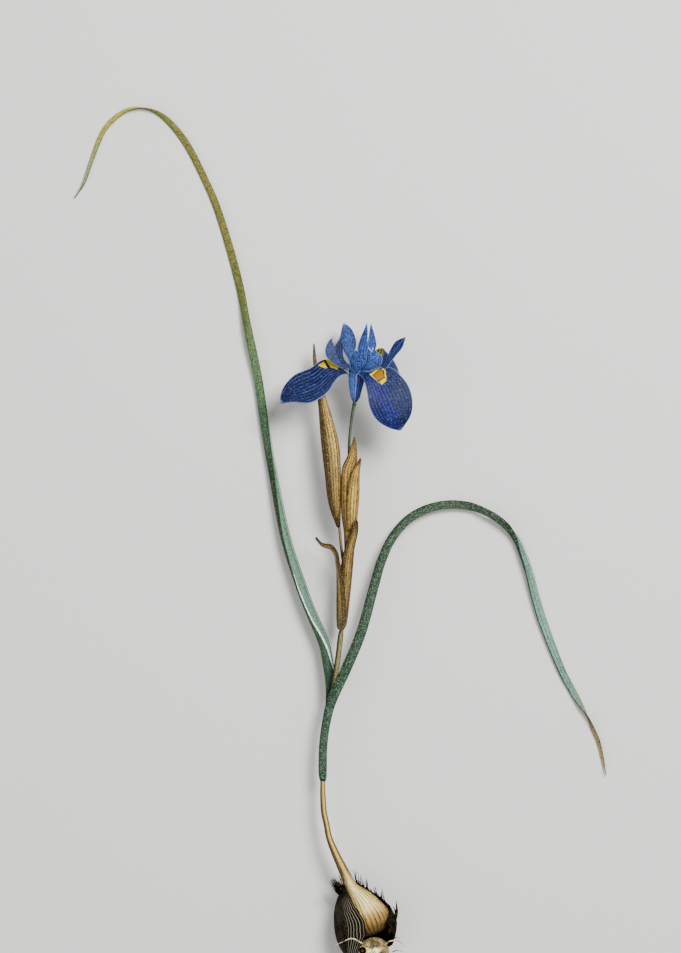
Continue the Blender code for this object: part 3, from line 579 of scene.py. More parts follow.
routes = []
for route in ROOTS:
    last = len(route) - 1
    routes.append([(*point, ROOT_THICK - ROOT_TAPER * i / last) for i, point in enumerate(route)])
for i in range(ROOT_HAIRS):
    start = Vector(draw.choice(ROOTS[2:])[1]) + Vector((draw.uniform(-0.1, 0.1), draw.uniform(-2, 2), 0))
    tip = start + Vector((draw.uniform(-3.2, 3.2), draw.uniform(-3.4, -0.6), draw.uniform(-1.5, 0.8)))
    middle = (start + tip) / 2 + Vector((draw.uniform(-0.5, 0.5), draw.uniform(-0.3, 0.3), 0.2))
    routes.append(((*start, 0.14), (*middle, 0.1), (*tip, 0.04)))
roots = strands("roots", routes, 3)
skin, wires, shader = new_skin("Root skin", 0.6)
patchy = wires.clouds(wires.spot(), 500.0, 2.0)
colour = wires.mix(wires.step(patchy, 0.4, 0.62), rgb(232, 215, 162), rgb(110, 94, 61))
dress(wires, shader, colour, patchy, 0.3)
seat(roots, "old_corm_skin", ["old_corm"], skin)

# The two leaves, fleshy green straps with a channel, grown from the neck. The foot of the right one is a
# closed sheath, which holds the stem and the foot of the left one. Each then opens, arches over and twists,
# so that its dark back and its pale inner face show in turn.

BLADE = 0.6
FLOOR_GAP = 0.04
LEAF_THICKNESS = 0.4
LEAF_ROWS = 560
LEAF_VEINS = 11
LEAF_VEIN_DEPTH = 0.05
FOLD_HIGHLIGHT = rgb(237, 255, 245)
FOLD_DARK = rgb(20, 43, 26)
LEAF_LEFT = (
    (-14.9, 58.0, 6.55, 0.35, 0.1, 50, 0),
    (-14.7, 64.0, 6.5, 0.5, 0.15, 55, 0),
    (-14.0, 70.0, 6.3, 0.75, 0.4, 70, 0),
    (-12.6, 76.0, 5.9, 1.25, 0.9, 85, 0),
    (-12.2, 82.5, 5.3, 1.75, 1.4, 85, -6),
    (-13.3, 90.0, 4.4, 1.8, 1.4, 75, -14),
    (-14.9, 97.5, 3.6, 1.9, 1.4, 72, -22),
    (-20.4, 109.5, 2.6, 2.05, 1.7, 80, -38),
    (-23.75, 118.0, 2.1, 2.15, 1.9, 84, -42),
    (-29.3, 134.8, 1.4, 1.9, 2.1, 90, -50),
    (-34.3, 160.0, 0.8, 1.2, 2.4, 92, -70),
    (-36.75, 174.5, 0.6, 0.95, 2.7, 92, -85),
    (-38.8, 189.3, 0.4, 0.9, 2.7, 90, -94),
    (-42.0, 206.0, 0.2, 1.55, 2.3, 80, -122),
    (-44.3, 223.0, 0.1, 1.45, 0.8, 55, -150),
    (-51.4, 248.1, 0.0, 1.25, 0.7, 52, -158),
    (-56.7, 260.8, 0.0, 1.15, 0.7, 50, -160),
    (-63.3, 273.3, 0.0, 1.15, 0.6, 50, -160),
    (-70.5, 281.6, 0.0, 1.1, 0.6, 50, -140),
    (-76.5, 284.6, 0.0, 1.0, 0.5, 50, -100),
    (-82.4, 284.6, 0.0, 1.0, 0.5, 50, -60),
    (-87.7, 281.6, 0.1, 1.0, 0.5, 48, -40),
    (-92.0, 276.6, 0.2, 0.85, 0.4, 45, -30),
    (-96.2, 266.0, 0.3, 0.6, 0.3, 45, -25),
    (-98.8, 258.6, 0.4, 0.4, 0.2, 40, -20),
    (-102.0, 253.4, 0.5, 0.1, 0.05, 40, -20),
)
LEAF_RIGHT = (
    (-14.9, 49.2, 7.34, 0.7, 0.75, 128, 180),
    (-14.9, 50.0, 7.25, 1.05, 1.1, 128, 180),
    (-15.0, 52.5, 7.13, 1.3, 1.35, 128, 180),
    (-14.9, 60.0, 7.19, 1.3, 1.35, 125, 180),
    (-14.4, 65.5, 7.5, 1.3, 1.3, 115, 180),
    (-13.6, 70.5, 8.15, 1.35, 1.15, 100, 180),
    (-12.3, 76.0, 8.94, 1.5, 0.95, 82, 180),
    (-10.3, 81.0, 9.65, 1.6, 0.85, 68, 180),
    (-6.8, 88.5, 9.8, 1.65, 0.8, 55, 180),
    (-1.6, 101.1, 8.8, 1.65, 0.9, 56, 180),
    (3.1, 117.9, 7.0, 1.55, 0.9, 58, 180),
    (5.6, 126.3, 6.0, 1.45, 0.9, 58, 180),
    (9.6, 134.8, 5.0, 1.4, 0.9, 58, 180),
    (16.6, 142.1, 3.9, 1.35, 0.9, 58, 178),
    (26.1, 145.7, 2.8, 1.35, 0.9, 58, 174),
    (35.9, 145.5, 1.8, 1.35, 0.9, 60, 165),
    (43.1, 142.0, 1.2, 1.4, 1.8, 80, 125),
    (48.65, 137.7, 0.8, 1.3, 2.2, 88, 95),
    (51.75, 133.85, 0.5, 1.4, 2.0, 88, 70),
    (54.0, 129.2, 0.3, 1.5, 1.7, 84, 52),
    (56.8, 121.95, 0.2, 1.6, 1.4, 76, 40),
    (59.2, 113.7, 0.1, 1.55, 1.1, 66, 30),
    (61.8, 105.3, 0.0, 1.5, 1.0, 64, 24),
    (68.4, 88.5, 0.0, 1.2, 0.8, 60, 18),
    (72.8, 80.1, 0.0, 1.05, 0.7, 58, 18),
    (75.2, 75.9, 0.0, 1.0, 0.7, 58, 40),
    (77.6, 71.8, 0.0, 0.95, 0.6, 56, 90),
    (79.6, 67.4, 0.1, 0.8, 0.5, 52, 135),
    (81.6, 63.0, 0.3, 0.6, 0.4, 50, 150),
    (83.4, 56.0, 0.6, 0.35, 0.2, 45, 160),
    (84.4, 51.2, 0.9, 0.1, 0.05, 40, 160),
)


def leaf_blade(name, stations, rows, looks):
    """A station is x, y, clearance under it, half width, depth, wrap and roll, the last two in degrees."""
    path = smooth_curve(stations)
    sections = {}

    def section(u):
        x, y, clearance, half, depth, wrap, roll = path(u)
        ahead, behind = path(min(u + 0.004, 1.0)), path(max(u - 0.004, 0.0))
        tangent = Vector((ahead[0] - behind[0], ahead[1] - behind[1], 0)).normalized()
        side = Vector((tangent.y, -tangent.x, 0))
        roll, wrap = math.radians(roll), math.radians(wrap)
        turned = side * math.cos(roll) + Vector((0, 0, 1)) * math.sin(roll)
        back = side * math.sin(roll) - Vector((0, 0, 1)) * math.cos(roll)
        reach = math.sin(min(wrap, math.pi / 2))

        def offset(v):
            angle = wrap * (2 * v - 1)
            rib = LEAF_VEIN_DEPTH * groove(v * LEAF_VEINS, 0.9) * smooth_step(half, 0.2, 0.8)
            return turned * half * math.sin(angle) / reach + back * (depth * (math.cos(angle) - 1) - rib)

        lowest = min(offset(i / 8).z for i in range(9))
        return Vector((x, y, clearance + FLOOR_GAP + BLADE / 2 - lowest)), offset

    def place(u, v):
        key = round(u * rows)
        if key not in sections:
            sections[key] = section(u)
        centre, offset = sections[key]
        return centre + offset(v)

    return thicken(shaped_grid(name, rows, LEAF_VEINS * 4, place), LEAF_THICKNESS, looks)


def leaf_skin(
    name, stops, dark, light, dots, shade_from, shade_to, painted_rim_colour, painted_rim_share, keel=0.0, fold=()
):
    """One face of a leaf: its colour from foot to tip, fine dots, long veins, a side darkened as painted
    shade, and painted rims: a pale highlight on the inner faces, dark shade on the backs.
    """
    look, wires, shader = new_skin(name, 0.5)
    along, across = wires.surface()
    colour = wires.ramp(along, bands(stops))
    colour = wires.tint(colour, wires.step(across, shade_from, shade_to), 0.6, dark)
    if fold:
        border = wires.ramp(along, [(place, (share, share, share)) for place, share in fold])
        past = wires.sums("SUBTRACT", across, border)
        # Where the edge folds over: a near-white line beside the fold is a painted highlight, and past it
        # lies the dark back of the leaf.
        gleam = wires.near(past, 0.08, 0.09, 0.03)
        colour = wires.tint(colour, gleam, wires.step(along, 0.4, 0.3), FOLD_HIGHLIGHT)
        colour = wires.mix(wires.step(past, 0.015, -0.015), colour, FOLD_DARK)
    vein = wires.group(
        lines, along=wires.times(along, 8.0), across=across, count=LEAF_VEINS,
        width=0.6, wander=0.008, broken=0.6, seed=5.0
    )
    colour = wires.tint(colour, vein, 0.35, dark)
    pale = wires.mix(0.24, colour, light)
    colour = wires.tint(colour, wires.group(grains, size=0.6, cover=0.45), dots, dark)
    colour = wires.tint(colour, wires.group(grains, size=0.45, cover=0.3), dots, pale)
    colour = wires.tint(colour, wires.near(across, 0.5, 0.06, 0.02), keel, dark)
    # Painted rims along both edges: pale ones are a painted highlight, dark ones painted shade.
    painted_rim = wires.step(wires.sums("PINGPONG", across, 0.5), 0.06, 0.03)
    colour = wires.tint(colour, painted_rim, painted_rim_share, painted_rim_colour)
    dress(wires, shader, colour, wires.sums("SUBTRACT", 1.0, vein), 0.4)
    return look


left_back = leaf_skin("Left leaf back", (
    (0.0, 25, 47, 26), (0.3, 18, 39, 25), (0.36, 8, 30, 17), (0.43, 50, 77, 58), (0.5, 71, 98, 61),
    (0.56, 69, 76, 23), (0.64, 104, 98, 35), (0.8, 104, 98, 35), (1.0, 93, 103, 65),
), rgb(5, 21, 0), rgb(181, 213, 139), 0.65, 0.75, 1.05, rgb(14, 30, 3), 0.4)
left_channel = leaf_skin("Left leaf channel", (
    (0.0, 70, 95, 78), (0.15, 81, 109, 96), (0.4, 97, 135, 109), (0.5, 92, 107, 56),
    (0.75, 173, 155, 30), (0.9, 169, 157, 46), (1.0, 114, 128, 109),
), rgb(43, 62, 50), rgb(142, 184, 151), 0.55, 0.85, 1.1, rgb(210, 252, 214), 0.3, 0.15, (
    (0.0, 1.0), (0.1, 1.0), (0.12, 0.74), (0.14, 0.56), (0.17, 0.36), (0.29, 0.28), (0.35, 0.12), (0.4, 0.0),
))
left_leaf = leaf_blade("left_leaf_blade", LEAF_LEFT, LEAF_ROWS, [left_back, left_channel])
seat(left_leaf, "leaf", ["leaf_left"])
right_back = leaf_skin("Right leaf back", (
    (0.0, 23, 43, 29), (0.03, 45, 65, 51), (0.1, 38, 59, 45), (0.2, 37, 57, 43), (0.45, 45, 63, 46),
    (0.6, 41, 55, 37), (0.86, 69, 71, 45), (0.93, 133, 105, 58), (1.0, 147, 118, 66),
), rgb(0, 12, 0), rgb(179, 218, 176), 0.65, 0.48, 0.84, rgb(1, 22, 5), 0.5)
right_channel = leaf_skin("Right leaf channel", (
    (0.0, 58, 91, 63), (0.55, 78, 103, 89), (0.75, 98, 141, 121), (0.86, 108, 150, 130),
    (0.93, 102, 83, 46), (1.0, 107, 88, 46),
), rgb(49, 63, 53), rgb(179, 218, 190), 0.6, 0.8, 1.1, rgb(197, 235, 208), 0.8, 0.8)
right_leaf = leaf_blade("right_leaf_blade", LEAF_RIGHT, LEAF_ROWS, [right_back, right_channel])
seat(right_leaf, "leaf", ["leaf_right"])

# The flowering stem: a thin round stalk that rises out of the leaf sheath, forks under the bracts, and sends
# a short branch to the left spathe. The flower's own stalk goes on above it, thinner, to the receptacle.

STEM_RIBS = 10
STEM_RIB_DEPTH = 0.05
STEM = (
    (-14.6, 63.5, 8.1, 0.45),
    (-13.8, 70.0, 7.95, 0.55),
    (-12.4, 76.0, 8.1, 0.75),
    (-10.9, 84.3, 8.6, 0.95),
    (-9.6, 92.8, 8.6, 1.0),
    (-8.7, 100.2, 8.6, 1.0),
    (-8.4, 102.2, 8.6, 0.75),
    (-8.0, 105.0, 8.7, 0.65),
    (-7.3, 112.7, 9.0, 0.65),
    (-6.8, 121.4, 9.6, 0.7),
    (-6.1, 129.3, 10.4, 0.6),
)
BRANCH = (
    (-6.9, 119.6, 9.4, 0.5),
    (-7.6, 124.5, 9.8, 0.55),
    (-8.4, 130.5, 10.2, 0.55),
    (-9.1, 137.4, 10.6, 0.5),
    (-9.2, 138.6, 10.7, 0.45),
)
FLOWER_STALK = (
    (-6.1, 129.6, 10.4, 0.45),
    (-5.6, 136.0, 11.1, 0.6),
    (-5.4, 142.0, 11.7, 0.6),
    (-5.3, 148.0, 12.3, 0.55),
    (-5.4, 155.0, 13.1, 0.5),
    (-5.8, 163.0, 14.0, 0.5),
    (-5.6, 169.0, 14.7, 0.5),
    (-4.9, 175.7, 15.5, 0.52),
    (-4.1, 180.4, 16.0, 0.62),
    (-3.85, 181.3, 16.1, 0.78),
    (-3.72, 182.0, 16.1, 0.5),
    (-3.7, 182.2, 16.1, 0.3),
)


def round_stem(name, stations, rows):
    """A ribbed stalk through stations of x, y, z and radius."""
    path = smooth_curve(stations)

    def place(u, v):
        radius = path(u)[3] * (1 - STEM_RIB_DEPTH * groove(v * STEM_RIBS, 0.9))
        return ring_point(path, u, v, radius)

    return weld(shaped_grid(name, rows, STEM_RIBS * 4, place))


def stem_skin(name, edge, middle, dark):
    """A stalk's skin: lighter along its middle, a painted highlight, and darker at its edges as painted
    shade, with dark dots and fine ribs.
    """
    look, wires, shader = new_skin(name, 0.5)
    along, across = wires.surface()
    colour = wires.mix(wires.band(across, (0.12, 0.28), (0.48, 0.32)), edge, middle)
    colour = wires.tint(colour, wires.group(grains, size=0.5, cover=0.4), 0.7, dark)
    ribs = wires.group(
        lines, along=wires.times(along, 3.0), across=across, count=STEM_RIBS,
        width=0.6, wander=0.01, broken=0.6, seed=2.0
    )
    colour = wires.tint(colour, ribs, 0.45, dark)
    dress(wires, shader, colour, wires.sums("SUBTRACT", 1.0, ribs), 0.3)
    return look


stem_green = stem_skin("Stem skin", rgb(29, 31, 10), rgb(123, 111, 70), rgb(7, 5, 0))
stalk_green = stem_skin("Flower stalk skin", rgb(8, 27, 9), rgb(76, 93, 65), rgb(0, 1, 0))
branch_tan = stem_skin("Branch skin", rgb(43, 36, 17), rgb(126, 106, 68), rgb(11, 4, 0))
seat(round_stem("stem_main", STEM, 160), "stem_skin", ["stem"], stem_green)
seat(round_stem("stem_branch", BRANCH, 70), "stem_skin", ["stem"], branch_tan)
seat(round_stem("stalk_of_flower", FLOWER_STALK, 180), "stem_skin", ["flower_stalk"], stalk_green)

# The papery sheaths. Two bracts wrap the stem, two spathes wrap the flower stalk, and an empty one stands on
# the side branch. They are thin and dry, gold to brown, with close parallel veins and torn tips. Each is
# fixed by its foot to the stem.

PAPER = 0.3
PAPER_ROWS = 110
PAPER_RELIEF = 0.1
SHEATH_ARCH = 0.5
VEIN_BROWN = rgb(35, 6, 0)
PAPER_LIGHT = rgb(224, 192, 90)
SPATHE_LEFT = (
    ((-10.0, 138.2, 10.4), (-12.8, 146.3, 11.0), (-14.2, 157.1, 11.4), (-15.6, 169.4, 11.2),
     (-16.6, 182.7, 10.2), (-17.8, 191.4, 9.0), (-18.3, 197.4, 8.0), (-18.15, 202.8, 7.2)),
    ((-8.9, 138.2, 10.4), (-8.75, 146.3, 11.0), (-8.75, 157.1, 11.4), (-9.3, 166.6, 11.2),
     (-11.4, 175.3, 10.8), (-14.2, 184.3, 10.0), (-16.6, 192.0, 8.9), (-17.3, 197.4, 8.0),
     (-17.95, 202.8, 7.2)),
)
SPATHE_INNER = (
    ((-7.3, 130.2, 9.6), (-7.5, 136.0, 10.2), (-8.35, 143.0, 11.0), (-8.5, 151.2, 12.0),
     (-8.1, 158.9, 13.0), (-6.2, 163.2, 15.3), (-4.8, 167.2, 16.2), (-3.85, 170.6, 16.8)),
    ((-4.8, 130.2, 9.6), (-4.0, 137.0, 10.2), (-3.6, 143.0, 11.0), (-3.2, 151.0, 12.2),
     (-3.0, 158.0, 13.0), (-3.0, 162.5, 14.3), (-3.2, 166.6, 15.9), (-3.65, 170.6, 16.7)),
)
SPATHE_OUTER = (
    ((-6.4, 137.5, 13.8), (-6.6, 143.0, 14.6), (-6.4, 149.4, 15.7), (-5.6, 154.7, 16.3),
     (-4.4, 158.2, 16.6), (-2.8, 160.8, 16.8), (-1.75, 162.8, 17.0)),
    ((-3.4, 137.5, 12.2), (-2.8, 143.0, 12.9), (-2.3, 149.0, 13.6), (-2.2, 154.0, 14.4),
     (-2.1, 157.6, 15.2), (-1.8, 160.2, 16.2), (-1.55, 162.8, 16.9)),
)
BRACT_MIDDLE = (
    ((-8.9, 102.3, 8.2), (-9.4, 103.8, 8.0), (-9.0, 112.7, 8.2), (-8.7, 121.0, 10.0), (-8.3, 126.2, 12.2),
     (-7.1, 131.2, 13.4), (-5.2, 136.4, 15.0), (-3.8, 140.8, 15.8)),
    ((-7.7, 102.3, 8.2), (-6.7, 104.2, 8.0), (-5.6, 112.7, 8.2), (-4.8, 121.4, 8.9), (-3.9, 130.9, 11.6),
     (-2.7, 136.5, 13.6), (-2.7, 140.8, 15.4)),
)
BRACT_LOWER = (
    ((-9.4, 102.3, 9.4), (-9.9, 103.6, 8.9), (-10.0, 113.0, 8.8), (-9.9, 122.8, 9.4), (-10.4, 127.8, 10.0),
     (-12.1, 130.4, 10.2), (-15.2, 131.5, 10.0), (-17.6, 134.4, 9.6)),
    ((-7.6, 102.3, 11.2), (-6.9, 103.8, 11.7), (-7.0, 112.7, 12.1), (-7.6, 119.7, 13.0), (-8.8, 125.6, 13.6),
     (-9.7, 129.6, 13.2), (-11.8, 132.0, 12.0), (-15.0, 132.6, 10.6), (-17.2, 134.7, 10.0)),
)


def between_edges(
    name, left, right, bulge, rows, veins, relief, looks,
    notch=(0.0, 0.0), fray=0.0, arch=1.0, origin=(0, 0, 0)
):
    """A blade between two edge curves, arched across by the bulge, ribbed along, and notched or frayed."""
    near, far, origin = smooth_curve(left), smooth_curve(right), Vector(origin)
    seed = len(name) * 1.7

    def place(u, v):
        coarse, fine = noise.noise(Vector((v * 9, seed, 0))), noise.noise(Vector((v * 31, seed, 4)))
        ragged = 0.5 + 0.5 * coarse + 0.25 * fine
        inner = 1.0 - abs(2.0 * v - 1.0)
        u *= 1.0 - notch[0] * inner - notch[1] * inner**8 - fray * ragged
        a, b = Vector(near(u)), Vector(far(u))
        ahead, behind = min(u + 0.02, 1.0), max(u - 0.02, 0.0)
        along = (Vector(near(ahead)) + Vector(far(ahead))) - (Vector(near(behind)) + Vector(far(behind)))
        across = b - a
        face = across.cross(along)
        narrow = smooth_step(across.length, 0.2, 1.5)
        lift = blend(bulge, u) * (4 * v * (1 - v)) ** arch - relief * narrow * groove(v * veins + 0.5, 0.8)
        lift += 0.08 * narrow * noise.noise(Vector((u * 7, v * 4, seed)))
        if face.length > 1e-6:
            face.normalize()
        return origin + a + across * v + face * lift

    return thicken(shaped_grid(name, rows, max(veins * 8, 56), place), PAPER, looks)


def paper_skin(name, across_stops, foot, tip, veins, vein_share, dot_colour, dot_share):
    """A dry sheath: bands of colour across it, a darker foot and tip, long dark veins and fine dots."""
    look, wires, shader = new_skin(name, 0.6)
    along, across = wires.surface()
    colour = wires.ramp(across, bands(across_stops))
    cloud = wires.step(wires.clouds(wires.spot(), 160.0, 2.0), 0.5, 0.7)
    colour = wires.tint(colour, cloud, 0.35, dot_colour)
    colour = wires.tint(colour, wires.step(along, 0.5, 0.1), 0.45, foot)
    colour = wires.mix(wires.step(along, 0.14, 0.02), colour, foot)
    colour = wires.mix(wires.step(along, 0.82, 1.0), colour, tip)
    line = wires.group(
        lines, along=wires.times(along, 1.6), across=across, count=veins,
        width=0.85, wander=0.05, broken=0.3, seed=4.0
    )
    fine = wires.group(
        lines, along=wires.times(along, 3.0), across=across, count=veins * 2.3,
        width=0.5, wander=0.04, broken=0.9, seed=9.0
    )
    line = wires.sums("MAXIMUM", line, wires.times(fine, 0.5))
    colour = wires.tint(colour, line, vein_share, VEIN_BROWN)
    pale = wires.mix(0.3, colour, PAPER_LIGHT)
    colour = wires.tint(colour, wires.group(grains, size=0.45, cover=0.3), 0.6, pale)
    dots = wires.group(grains, size=0.5, cover=0.45)
    colour = wires.tint(colour, dots, dot_share, dot_colour)
    dress(wires, shader, colour, wires.sums("SUBTRACT", 1.0, line), 0.4, 0.2)
    return look


left_paper = paper_skin("Left spathe skin", (
    (0.0, 49, 41, 19), (0.3, 79, 65, 37), (0.48, 160, 136, 76), (0.78, 198, 164, 86),
    (1.0, 82, 65, 35),
), rgb(43, 24, 0), rgb(104, 100, 85), 6, 0.9, rgb(22, 10, 0), 0.6)
inner_paper = paper_skin("Inner spathe skin", (
    (0.0, 62, 44, 20), (0.3, 190, 153, 76), (0.6, 173, 140, 72), (1.0, 85, 64, 33),
), rgb(43, 28, 4), rgb(126, 99, 49), 5, 0.9, rgb(34, 24, 4), 0.5)
outer_paper = paper_skin("Outer spathe skin", (
    (0.0, 52, 32, 4), (0.2, 162, 131, 63), (0.4, 215, 181, 83), (0.75, 196, 158, 73),
    (1.0, 79, 58, 28),
), rgb(102, 83, 46), rgb(32, 17, 1), 4, 0.9, rgb(43, 31, 12), 0.45)
middle_paper = paper_skin("Middle bract skin", (
    (0.0, 23, 6, 0), (0.18, 81, 63, 35), (0.5, 168, 139, 76), (0.75, 115, 94, 56),
    (1.0, 55, 39, 13),
), rgb(52, 45, 27), rgb(55, 38, 16), 5, 0.85, rgb(27, 16, 0), 0.5)
lower_paper = paper_skin("Lower bract skin", (
    (0.0, 23, 17, 0), (0.3, 76, 63, 36), (0.5, 181, 152, 86), (0.66, 87, 75, 46),
    (1.0, 33, 26, 0),
), rgb(70, 63, 41), rgb(20, 35, 17), 4, 0.75, rgb(16, 9, 0), 0.5)
for name, edges, bulge, veins, fray, node, look in (
    ("lower_bract", BRACT_LOWER, (0.6, 0.7, 0.8, 0.3), 4, 0.0, "bract_lower", lower_paper),
    ("middle_bract", BRACT_MIDDLE, (2.3, 2.2, 1.4, 0.6, 0.2), 5, 0.02, "bract_middle", middle_paper),
    ("left_spathe", SPATHE_LEFT, (0.9, 2.4, 2.6, 2.2, 1.2, 0.3), 6, 0.02, "spathe_left", left_paper),
    ("inner_spathe", SPATHE_INNER, (2.0, 2.2, 2.2, 1.9, 1.1, 0.2), 5, 0.06, "spathe_inner", inner_paper),
    ("outer_spathe", SPATHE_OUTER, (0.8, 0.8, 0.6, 0.2), 4, 0.06, "spathe_outer", outer_paper),
):
    sheath = between_edges(
        name, *edges, bulge, PAPER_ROWS, veins, PAPER_RELIEF, [look], fray=fray, arch=SHEATH_ARCH
    )
    seat(sheath, "spathe", [node])

# The petals, in millimetres from the flower's throat: +X right, +Y up, +Z to the viewer. All six are one soft
# velvety flesh, joined at the receptacle. Their narrow feet stand in a ring as a cup, then they spread.

THROAT = Vector((-3.0, 192.5, 16.15))
PETAL_ROWS = 130
PETAL_RELIEF = 0.05
CUP_LEAN = 0.07
CLAW_SPREAD = math.radians(28.5)
CLAW = ((-10.5, 0.55), (-9.9, 1.1), (-8.6, 1.75), (-6.0, 2.4), (-3.4, 3.0), (-1.0, 3.25))
FALL_LEFT = (
    ((-4.6, 0.6, -1.9), (-7.4, 3.4, -3.0), (-11.9, 4.1, -4.0), (-16.1, 1.4, -4.4), (-21.7, -1.0, -3.6),
     (-25.2, -4.6, -2.2), (-26.6, -8.0, -0.6), (-26.9, -10.8, 0.9)),
    ((-4.6, -0.9, 1.5), (-6.3, -1.8, 2.6), (-8.0, -3.8, 3.6), (-9.9, -6.7, 4.5), (-12.6, -9.1, 4.9),
     (-16.8, -10.9, 4.7), (-22.7, -10.6, 3.0), (-26.5, -11.1, 1.3)),
)
FALL_FRONT = (
    ((1.3, -1.4, 4.8), (2.2, -2.4, 6.6), (2.9, -4.4, 8.0), (3.5, -7.2, 8.8), (4.5, -12.6, 9.0),
     (7.0, -16.9, 8.4), (11.5, -19.7, 7.2), (15.0, -20.5, 6.5)),
    ((5.5, 0.0, 3.0), (10.2, 1.1, 4.0), (13.4, 0.2, 4.8), (17.4, -4.0, 5.8), (19.2, -9.0, 6.4),
     (18.9, -14.7, 6.6), (15.5, -20.2, 6.5)),
)
FALL_BACK = (
    ((2.4, 2.0, -5.6), (5.5, 6.8, -8.6), (8.9, 8.2, -10.6), (10.6, 5.0, -13.0), (9.8, -1.0, -15.0),
     (8.6, -6.0, -15.6), (9.6, -9.4, -15.7)),
    ((5.2, 0.6, -3.6), (8.4, 1.6, -4.8), (11.8, 1.4, -6.0), (14.6, -0.4, -7.8), (14.9, -4.0, -10.2),
     (13.4, -7.8, -13.2), (10.2, -9.9, -15.5)),
)
STANDARD_BACK = (
    ((-2.8, 3.7, -2.7), (-4.6, 7.1, -3.7), (-5.3, 9.9, -4.6), (-5.7, 13.0, -5.6), (-4.9, 16.9, -6.8)),
    ((-0.7, 4.0, -4.2), (-0.6, 8.0, -5.6), (-0.4, 11.0, -6.7), (-1.9, 14.9, -7.3), (-4.5, 17.1, -7.4)),
)
STANDARD_FRONT = (
    ((-1.6, 0.2, 4.0), (-2.2, 1.7, 6.0), (-2.5, 3.8, 8.2), (-1.9, 5.6, 9.9), (-1.2, 6.9, 11.1),
     (-0.6, 7.9, 11.9)),
    ((0.5, 0.2, 4.3), (1.8, 1.7, 6.1), (2.1, 3.5, 7.9), (1.3, 5.3, 9.6), (0.35, 6.9, 11.1),
     (-0.4, 7.9, 11.9)),
)
STANDARD_RIGHT = (
    ((5.4, -0.2, -1.8), (9.2, 1.9, -1.8), (10.6, 4.9, -1.6), (11.5, 7.4, -1.4), (13.5, 10.6, -1.0),
     (15.6, 11.7, -0.4), (16.7, 12.1, 0.0)),
    ((5.9, -0.9, 0.6), (10.2, 1.2, 0.4), (11.9, 3.5, 0.6), (13.8, 6.0, 0.8), (15.8, 8.5, 0.8),
     (16.7, 11.0, 0.4), (17.0, 12.0, 0.1)),
)
NIGHT, LIGHT, RIM_HIGHLIGHT = rgb(0, 0, 23), rgb(70, 96, 162), rgb(143, 164, 235)
YELLOW, ORANGE, BAR = rgb(190, 164, 0), rgb(123, 84, 0), rgb(0, 0, 0)
MARKS = {
    "fall_left": (
        (((-13.6, 2.4), (-11.2, 1.3), (-10.4, 1.4), (-11.4, 3.7)), YELLOW),
        (((-12.1, 4.7), (-10.2, 1.2), (-9.5, 1.3), (-11.4, 4.9)), BAR),
        (((-11.4, 4.9), (-9.2, 1.6), (-6.9, 0.9), (-6.3, 1.8), (-10.0, 4.9)), YELLOW),
    ),
    "fall_front": (
        (((4.3, -0.9), (8.7, -4.5), (10.2, -3.1), (10.0, 0.5), (8.7, 1.8)), YELLOW),
        (((5.3, -1.2), (7.6, -3.6), (9.8, -2.2), (9.5, 0.2), (8.3, 1.2)), BAR),
        (((5.8, -1.2), (7.5, -3.1), (9.4, -2.0), (9.2, 0.0), (8.2, 0.8)), ORANGE),
    ),
    "fall_back": (
        (((6.2, 5.4), (9.3, 5.6), (9.1, 8.6), (6.4, 8.2)), rgb(89, 85, 12)),
        (((6.7, 5.4), (7.1, 5.4), (8.0, 8.5), (7.6, 8.5)), BAR),
        (((7.7, 5.4), (8.1, 5.4), (9.0, 8.3), (8.6, 8.4)), BAR),
    ),
}


def patch(wires, place, corners, soft=0.14):
    """A mask that is 1 inside a patch, whose corners run anticlockwise round it."""
    inside = 1.0
    for (x0, y0), (x1, y1) in zip(corners, corners[1:] + corners[:1]):
        long = math.dist((x0, y0), (x1, y1))
        inward = (-(y1 - y0) / long, (x1 - x0) / long, 0.0)
        edge = inward[0] * x0 + inward[1] * y0
        reach = wires.sums("SUBTRACT", wires.vectors("DOT_PRODUCT", place, inward), edge)
        inside = wires.sums("MINIMUM", inside, wires.step(reach, -soft, soft))
    return inside


